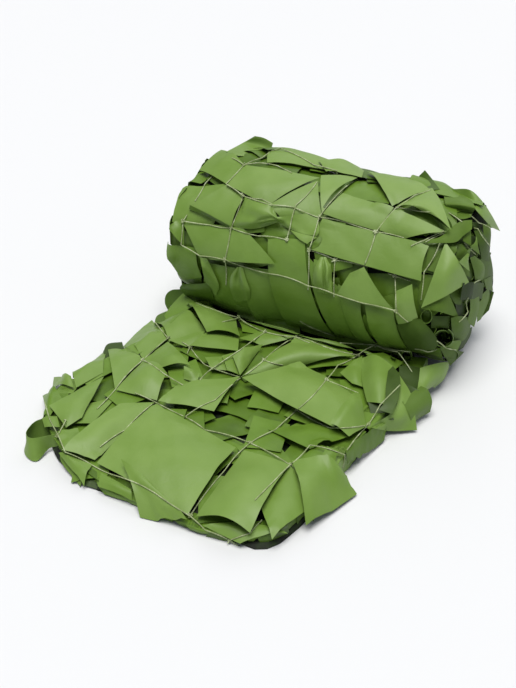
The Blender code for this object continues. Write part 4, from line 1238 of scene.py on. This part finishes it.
grids = [ribbon(hoop(*row), at_right_end, 0, FOLD_STEP) for row in END_HOOPS]
film_piece("right_end_loops", grids, [painted_shade_inside_loop(points) for points in grids])
grids = [ribbon(hoop(*row), over_laid, 0, FOLD_STEP) for row in LOOSE_HOOPS]
tones = [painted_shade_inside_loop(points) for points in grids] + [row[-1] for row in LOOSE_FOLDS_AND_PAINTED_SHADE + NIP_FOLDS]
grids += [ribbon(rails, at_height, crown, FOLD_STEP) for *rails, crown, _ in LOOSE_FOLDS_AND_PAINTED_SHADE]
grids += cleared(NIP_FOLDS, at_height)
film_piece("loose_end_loops_and_painted_shade", grids, tones)
for name, *rails, crown, tone in LOOSE_LARGE:
    points = to_camera(clear_of_laid(ribbon(rails, at_height, crown)))
    film_piece("film_" + name, [points], [tone], ["strip_" + name])


# ---------------------------------------------------------------- films of the end faces
# Strip ends between the netting's turns, scattered by chance: all of the left end, which the
# photograph doesn't show, and the ground behind the placed leaves of the right end.
ROOT = 0.020  # the part of a strip's end that stays between the turns
FREE_RADIUS, SQUEEZE = 0.10, 0.036  # past the first, strips are squeezed to end within the sum
SPREAD_TURN = 2.399963  # the golden angle, so that no two strip ends lie in line
petal_seed = np.random.default_rng(51)


def petal(side, angle, radius, seed):
    """A strip's end that comes out between two turns and folds over along the end face."""
    reach, bend = seed.uniform(0.022, 0.055), seed.uniform(0.004, 0.009)
    width, narrow = seed.uniform(0.040, 0.060), seed.uniform(0.1, 0.8)
    way = angle + seed.choice([0, math.pi]) + seed.uniform(-0.6, 0.6)
    part = radius / ROLL_OUTER
    face = END_DOME[side > 0] * (1 - part**2) - (0.021 if side > 0 else 0.004)
    s = np.linspace(0, 1, 16)
    fold = bend * math.pi / 2
    profile = []
    for length in s * (ROOT + fold + reach):
        if length < ROOT:
            profile.append((0, length - ROOT))
        elif length < ROOT + fold:
            turned = (length - ROOT) / bend
            profile.append((bend * (1 - math.cos(turned)), bend * math.sin(turned)))
        else:
            rest = length - ROOT - fold
            profile.append((bend + rest, bend - rest * seed.uniform(0.05, 0.1)))
    run, out = np.array(profile).T[:, :, None]
    v = np.linspace(-0.5, 0.5, 12)[None] * width
    taper = 1 - (1 - narrow) * np.clip((s[:, None] - 0.45) / 0.55, 0, 1)
    v = v * taper + 0.2 * width * (1 - taper)
    y = radius * -math.cos(angle) + run * -math.cos(way) + v * math.sin(way)
    z = AXIS_HEIGHT + radius * math.sin(angle) + run * math.sin(way) + v * math.cos(way)
    far = np.hypot(y, z - AXIS_HEIGHT)
    drawn_in = FREE_RADIUS + SQUEEZE * np.tanh((far - FREE_RADIUS) / SQUEEZE)
    kept = np.minimum(far, drawn_in) / np.maximum(far, 1e-6)
    y, z = y * kept, AXIS_HEIGHT + (z - AXIS_HEIGHT) * kept
    x = side * (ROLL_LENGTH / 2 + face + out + 0.003 * np.sin(v / width * 5 + angle * 3))
    return np.stack([x + 0 * y, y, np.maximum(z, 0.001)], -1)


for side, name, count in ((1, "right_end_films", 14), (-1, "left_end_films", 34)):
    grids, tones = [], []
    for k in range(count):
        radius = 0.128 * math.sqrt((k + 0.5) / count)
        angle = k * SPREAD_TURN + petal_seed.uniform(-0.2, 0.2)
        points = petal(side, angle, radius, petal_seed)
        grids.append(facing(points, points + np.array([side * 0.001, 0, 0])))
        tones.append(petal_seed.uniform(-0.1, 0.2))
    film_piece(name, grids, tones)


# ---------------------------------------------------------------- twine
# Two-ply twisted polypropylene twine, 2.2 mm thick, knotted into meshes of about 60 mm. It runs taut
# over the film strips from knot to knot.
TWINE = 0.0011  # radius
STRING_STEP, KNOT_STEP = 0.0016, 0.0009
PIXEL_STEP, PLACE_STEP = 2.2, 0.004  # how finely routes are followed, in pixels and in metres


def twine_material():
    """Twine, its dye faded in patches, with the fine grain of its fibres."""
    made, tree, shader = blank("twisted polypropylene twine")
    place = node(tree, "ShaderNodeTexCoord").outputs["Object"]
    cloud = clouds(tree, place, 0.012, 2.0)
    feed(tree, shader, {
        "Base Color": shades(tree, cloud, (0.3, "#84935F"), (0.5, "#A3B07E"), (0.75, "#CBD5AE")),
        "Roughness": 0.55,
        "Normal": relief(tree, clouds(tree, place, 0.0006, 1.0), 0.5, 0.0001),
    })
    return made


twine_finish = twine_material()
under_twine = laid_tree()
bow_seed = np.random.default_rng(67)


def taut(starts, ways):
    """A string pulled tight over what is laid, seen from these places along these ways."""
    need = []
    for start, way in zip(starts, ways):
        distance = under_twine.ray_cast(start.tolist(), way.tolist())[3]
        need.append(np.nan if distance is None else distance - 1.3 * TWINE)
    need = np.array(need)
    known = ~np.isnan(need)
    if known.sum() < 2:
        return None
    index = np.arange(len(need))
    need = np.interp(index, index[known], need[known])
    depth = need.copy()
    for _ in range(40):
        depth[1:-1] = np.minimum(need[1:-1], (depth[:-2] + depth[2:]) / 2)
    return np.asarray(starts) + np.asarray(ways) * depth[:, None]


def between(route, step):
    """Places every step along a route of straight runs."""
    places = [np.array(route[0], float)]
    for one, two in zip(route, route[1:]):
        one, two = np.array(one, float), np.array(two, float)
        count = max(2, round(float(np.linalg.norm(two - one)) / step))
        places += [one + (two - one) * k / count for k in range(1, count + 1)]
    return places


def seen_string(route):
    """A string through these pixels. Each run between knots is a little slack to one side."""
    pixels = between(route, PIXEL_STEP)
    knots = [k for k, pixel in enumerate(pixels) if any(np.array_equal(pixel, spot) for spot in route)]
    for one, two in zip(knots, knots[1:]):
        run = pixels[two] - pixels[one]
        slack = bow_seed.uniform(-0.045, 0.045) * np.array([-run[1], run[0]])
        for k in range(one + 1, two):
            pixels[k] = pixels[k] + slack * math.sin(math.pi * (k - one) / (two - one))
    ways = [ray(pixel) for pixel in pixels]
    return taut([EYE] * len(ways), ways)


def placed_string(surface, route):
    """A string through these places on a surface, pressed on from above it."""
    spots = between(route, PLACE_STEP)
    starts = [surface.point(np.array(a), np.array(b), 0.05) for a, b in spots]
    ends = [surface.point(np.array(a), np.array(b), -0.03) for a, b in spots]
    ways = [(end - start) / np.linalg.norm(end - start) for start, end in zip(starts, ends)]
    return taut(starts, ways)


def even(points, step):
    """The same path with points evenly spaced along it."""
    gone = run_of(points)
    at = np.linspace(0, gone[-1], max(3, round(gone[-1] / step) + 1))
    return np.stack([np.interp(at, gone, points[:, axis]) for axis in range(3)], -1)


def rope(points, radius, step, sides, pitch=0.0085):
    """Vertices and faces of a two-ply cord along a path."""
    points = even(points, step)
    along = np.gradient(points, axis=0)
    along /= np.linalg.norm(along, axis=1, keepdims=True) + 1e-12
    up = np.array([0.3, 0.2, 0.93])
    side = np.cross(along, up)
    side /= np.linalg.norm(side, axis=1, keepdims=True) + 1e-12
    top = np.cross(side, along)
    turned = np.arange(len(points))[:, None] * step / pitch * 2 * math.pi
    angle = np.arange(sides)[None] * 2 * math.pi / sides + 0 * turned
    plies = radius * (0.76 + 0.26 * np.abs(np.cos(angle)))
    x, y = plies * np.cos(angle), plies * np.sin(angle)
    across = x * np.cos(turned) - y * np.sin(turned)
    upward = x * np.sin(turned) + y * np.cos(turned)
    verts = points[:, None] + side[:, None] * across[..., None] + top[:, None] * upward[..., None]
    index = np.arange(len(points) * sides).reshape(-1, sides)
    after = np.roll(index, -1, axis=1)
    tube = np.stack([index[:-1], after[:-1], after[1:], index[1:]], -1).reshape(-1, 4)
    caps = [index[0][::-1].tolist(), index[-1].tolist()]
    return verts.reshape(-1, 3), tube.tolist() + caps


def knot(place, outward, seed):
    """A small overhand knot with two cut tails."""
    t = np.linspace(0, 2 * math.pi, 34)
    size = seed.uniform(0.00095, 0.00120)
    trefoil = [np.sin(t) + 2 * np.sin(2 * t), np.cos(t) - 2 * np.cos(2 * t), -np.sin(3 * t)]
    loop = np.stack(trefoil, -1) * size
    outward = outward / np.linalg.norm(outward)
    side = np.cross(outward, seed.normal(size=3))
    side /= np.linalg.norm(side)
    frame_of = np.stack([side, np.cross(outward, side), outward])
    pieces = [place + loop @ frame_of + outward * 0.0008]
    for _ in range(2):
        way = seed.normal(size=3) * 0.5 + side * seed.choice([-1, 1]) + outward * 0.5
        way /= np.linalg.norm(way)
        s = np.linspace(0, seed.uniform(0.003, 0.007), 4)[:, None]
        pieces.append(place + outward * 0.001 + way * s - outward * s**2 * 40)
    return pieces


def twine_piece(name, strings, knots):
    """Strings and knots as one piece."""
    verts, faces, start = [], [], 0
    for points, step, sides in [(s, STRING_STEP, 8) for s in strings] + [(k, KNOT_STEP, 6) for k in knots]:
        more, shell = rope(points, TWINE, step, sides)
        more[:, 2] = np.maximum(more[:, 2], 0.0004)
        verts.append(more)
        faces += [[i + start for i in face] for face in shell]
        start += len(more)
    mesh = bpy.data.meshes.new(name)
    mesh.from_pydata(np.concatenate(verts).tolist(), [], faces)
    mesh.polygons.foreach_set("use_smooth", np.ones(len(mesh.polygons), bool))
    mesh.materials.append(twine_finish)
    made = into_scene(name, mesh)
    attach(made, "root")


ROLL_ROUTES = (
    ((244, 165), (226, 184), (243, 196), (270, 205), (293, 207), (317, 217), (330, 219)),
    ((243, 196), (231, 228), (225, 260), (226, 285)),
    ((213, 176), (205, 184), (195, 201)),
    ((317, 182), (296, 205), (290, 228), (287, 240)),
    ((358, 179), (341, 191), (319, 217), (309, 250), (308, 290)),
    ((430, 190), (415, 195), (396, 208), (376, 232), (364, 266)),
    ((319, 217), (345, 222), (376, 232), (404, 238)),
    ((225, 260), (248, 268), (278, 275), (308, 286), (334, 294), (362, 303), (396, 311), (408, 322)),
    ((309, 250), (335, 260), (364, 266), (395, 276), (410, 281)),
    ((335, 260), (334, 297)),
    ((444, 231), (425, 240), (411, 246)),
    ((440, 243), (424, 272), (421, 300)),
    ((187, 215), (183, 221), (210, 225), (231, 228)),
    ((183, 221), (181, 245), (200, 256), (225, 260)),
    ((231, 228), (258, 236), (287, 240)),
    ((244, 165), (262, 158), (270, 152)),
    ((232, 158), (244, 165), (258, 163), (278, 166), (292, 173)),
    ((271, 151), (280, 148), (314, 165), (337, 171)),
    ((396, 208), (412, 210), (430, 212)),
    ((395, 276), (396, 311)),
    ((243, 196), (262, 199), (272, 204)),
)
LOOSE_ROUTES = (
    ((45, 402), (50, 420), (58, 435), (65, 452), (92, 465), (120, 477), (155, 493), (190, 516), (205, 530),
     (230, 540), (240, 547)),
    ((168, 338), (143, 360), (115, 390), (97, 409)),
    ((155, 322), (168, 338)),
    ((143, 360), (163, 373), (183, 385)),
    ((190, 347), (205, 365), (240, 377)),
    ((182, 342), (190, 347), (187, 354)),
    ((239, 318), (265, 332), (295, 337), (310, 343)),
    ((300, 321), (318, 330), (335, 336)),
    ((239, 318), (222, 322)),
    ((265, 332), (240, 350), (213, 368), (200, 380)),
    ((295, 337), (264, 360), (240, 378)),
    ((264, 360), (283, 365)),
    ((358, 355), (338, 365), (326, 380), (297, 410)),
    ((326, 380), (358, 393)),
    ((295, 337), (320, 345), (358, 355)),
    ((135, 393), (155, 402), (185, 417)),
    ((155, 402), (125, 430), (100, 447)),
    ((185, 417), (205, 430), (250, 443)),
    ((250, 443), (290, 465), (275, 480), (255, 500)),
    ((250, 443), (225, 470), (190, 516)),
    ((290, 465), (310, 445), (345, 455), (343, 468)),
    ((368, 425), (347, 450)),
    ((368, 425), (380, 405), (400, 385)),
    ((358, 355), (375, 345), (398, 352), (412, 372)),
    ((230, 540), (250, 533), (262, 520)),
    ((340, 343), (375, 345), (410, 352)),
    ((240, 318), (215, 310), (196, 303)),
    ((58, 435), (66, 420), (64, 420)),
    ((240, 378), (215, 400), (185, 417)),
    ((297, 410), (275, 430), (250, 443)),
    ((297, 410), (330, 428), (368, 425)),
)
knot_seed = np.random.default_rng(61)


def run_twine(name, routes, string, step):
    """Strings along the routes, and a knot wherever two of them meet."""
    strings, knots, seen = [], [], {}
    for route in routes:
        points = string(route)
        if points is not None:
            strings.append(points)
            places = between(route, step)
            for spot in route:
                at = np.argmin([np.linalg.norm(np.array(spot) - place) for place in places])
                seen.setdefault(spot, []).append(points[at])
    for spot, places in seen.items():
        if len(places) > 1:
            place = np.mean(places, axis=0)
            hit = under_twine.find_nearest(place.tolist())
            outward = place - np.array(hit[0])
            if np.linalg.norm(outward) < 1e-6:
                outward = np.array([0, 0, 1.0])
            knots += knot(place, outward, knot_seed)
    twine_piece(name, strings, knots)


END_ROUTES = (
    ((424, 243), (445, 233)),
    ((449, 213), (462, 222)),
    ((470, 215), (479, 223), (490, 228)),
    ((472, 228), (478, 229), (485, 240), (490, 246)),
    ((462, 240), (476, 255)),
    ((459, 322), (468, 312), (466, 302), (468, 298)),
    ((474, 283), (480, 280)),
    ((437, 341), (446, 348), (456, 350)),
    ((415, 349), (428, 352), (437, 349)),
)
run_twine("roll_twine", ROLL_ROUTES + END_ROUTES, seen_string, PIXEL_STEP)
run_twine("loose_end_twine", LOOSE_ROUTES, seen_string, PIXEL_STEP)
mesh_seed = np.random.default_rng(71)
rows = []
for degrees in range(138, 262, 23):
    row = []
    for across in np.arange(-0.24, 0.245, 0.060):
        a = across + mesh_seed.uniform(-0.012, 0.012)
        b = math.radians(degrees + mesh_seed.uniform(-4, 4)) * MEAN_RADIUS
        row.append((float(a), float(b)))
    rows.append(tuple(row))
run_twine("back_twine", rows + list(zip(*rows)), lambda route: placed_string(roll, route), PLACE_STEP)


# ---------------------------------------------------------------- floor and light
# A pale matte paper sweep under the net, and two soft lights as in a product photograph: a large
# one overhead and a weak one behind. Neither belongs to the net.
floor_finish, tree, shader = blank("matte studio paper")
feed(tree, shader, {"Base Color": linear("#E4E5E7"), "Roughness": 0.9})
FLOOR = 30  # metres to each side
mesh = bpy.data.meshes.new("floor")
corners = [(-FLOOR, -FLOOR, 0), (FLOOR, -FLOOR, 0), (FLOOR, FLOOR, 0), (-FLOOR, FLOOR, 0)]
mesh.from_pydata(corners, [], [(0, 1, 2, 3)])
mesh.materials.append(floor_finish)
floor = into_scene("floor", mesh)


def softbox(name, energy, spread, colour, tilt):
    """A large soft light, spread over and tilted by these degrees."""
    lamp = bpy.data.lights.new(name, "SUN")
    lamp.energy, lamp.angle, lamp.color = energy, math.radians(spread), linear(colour)[:3]
    into_scene(name, lamp).rotation_euler = (math.radians(tilt[0]), math.radians(tilt[1]), 0)


softbox("overhead softbox", 2.9, 38, "#FFFDF8", (10, 2.5))
softbox("softbox behind", 0.6, 50, "#FFFFFF", (-50, -8))
world = bpy.data.worlds.new("studio")
bpy.context.scene.world = world
world.use_nodes = True
sky = world.node_tree.nodes["Background"]
feed(world.node_tree, sky, {"Color": linear("#E9F0FF"), "Strength": 0.27})
bpy.context.scene.view_settings.view_transform = "Standard"
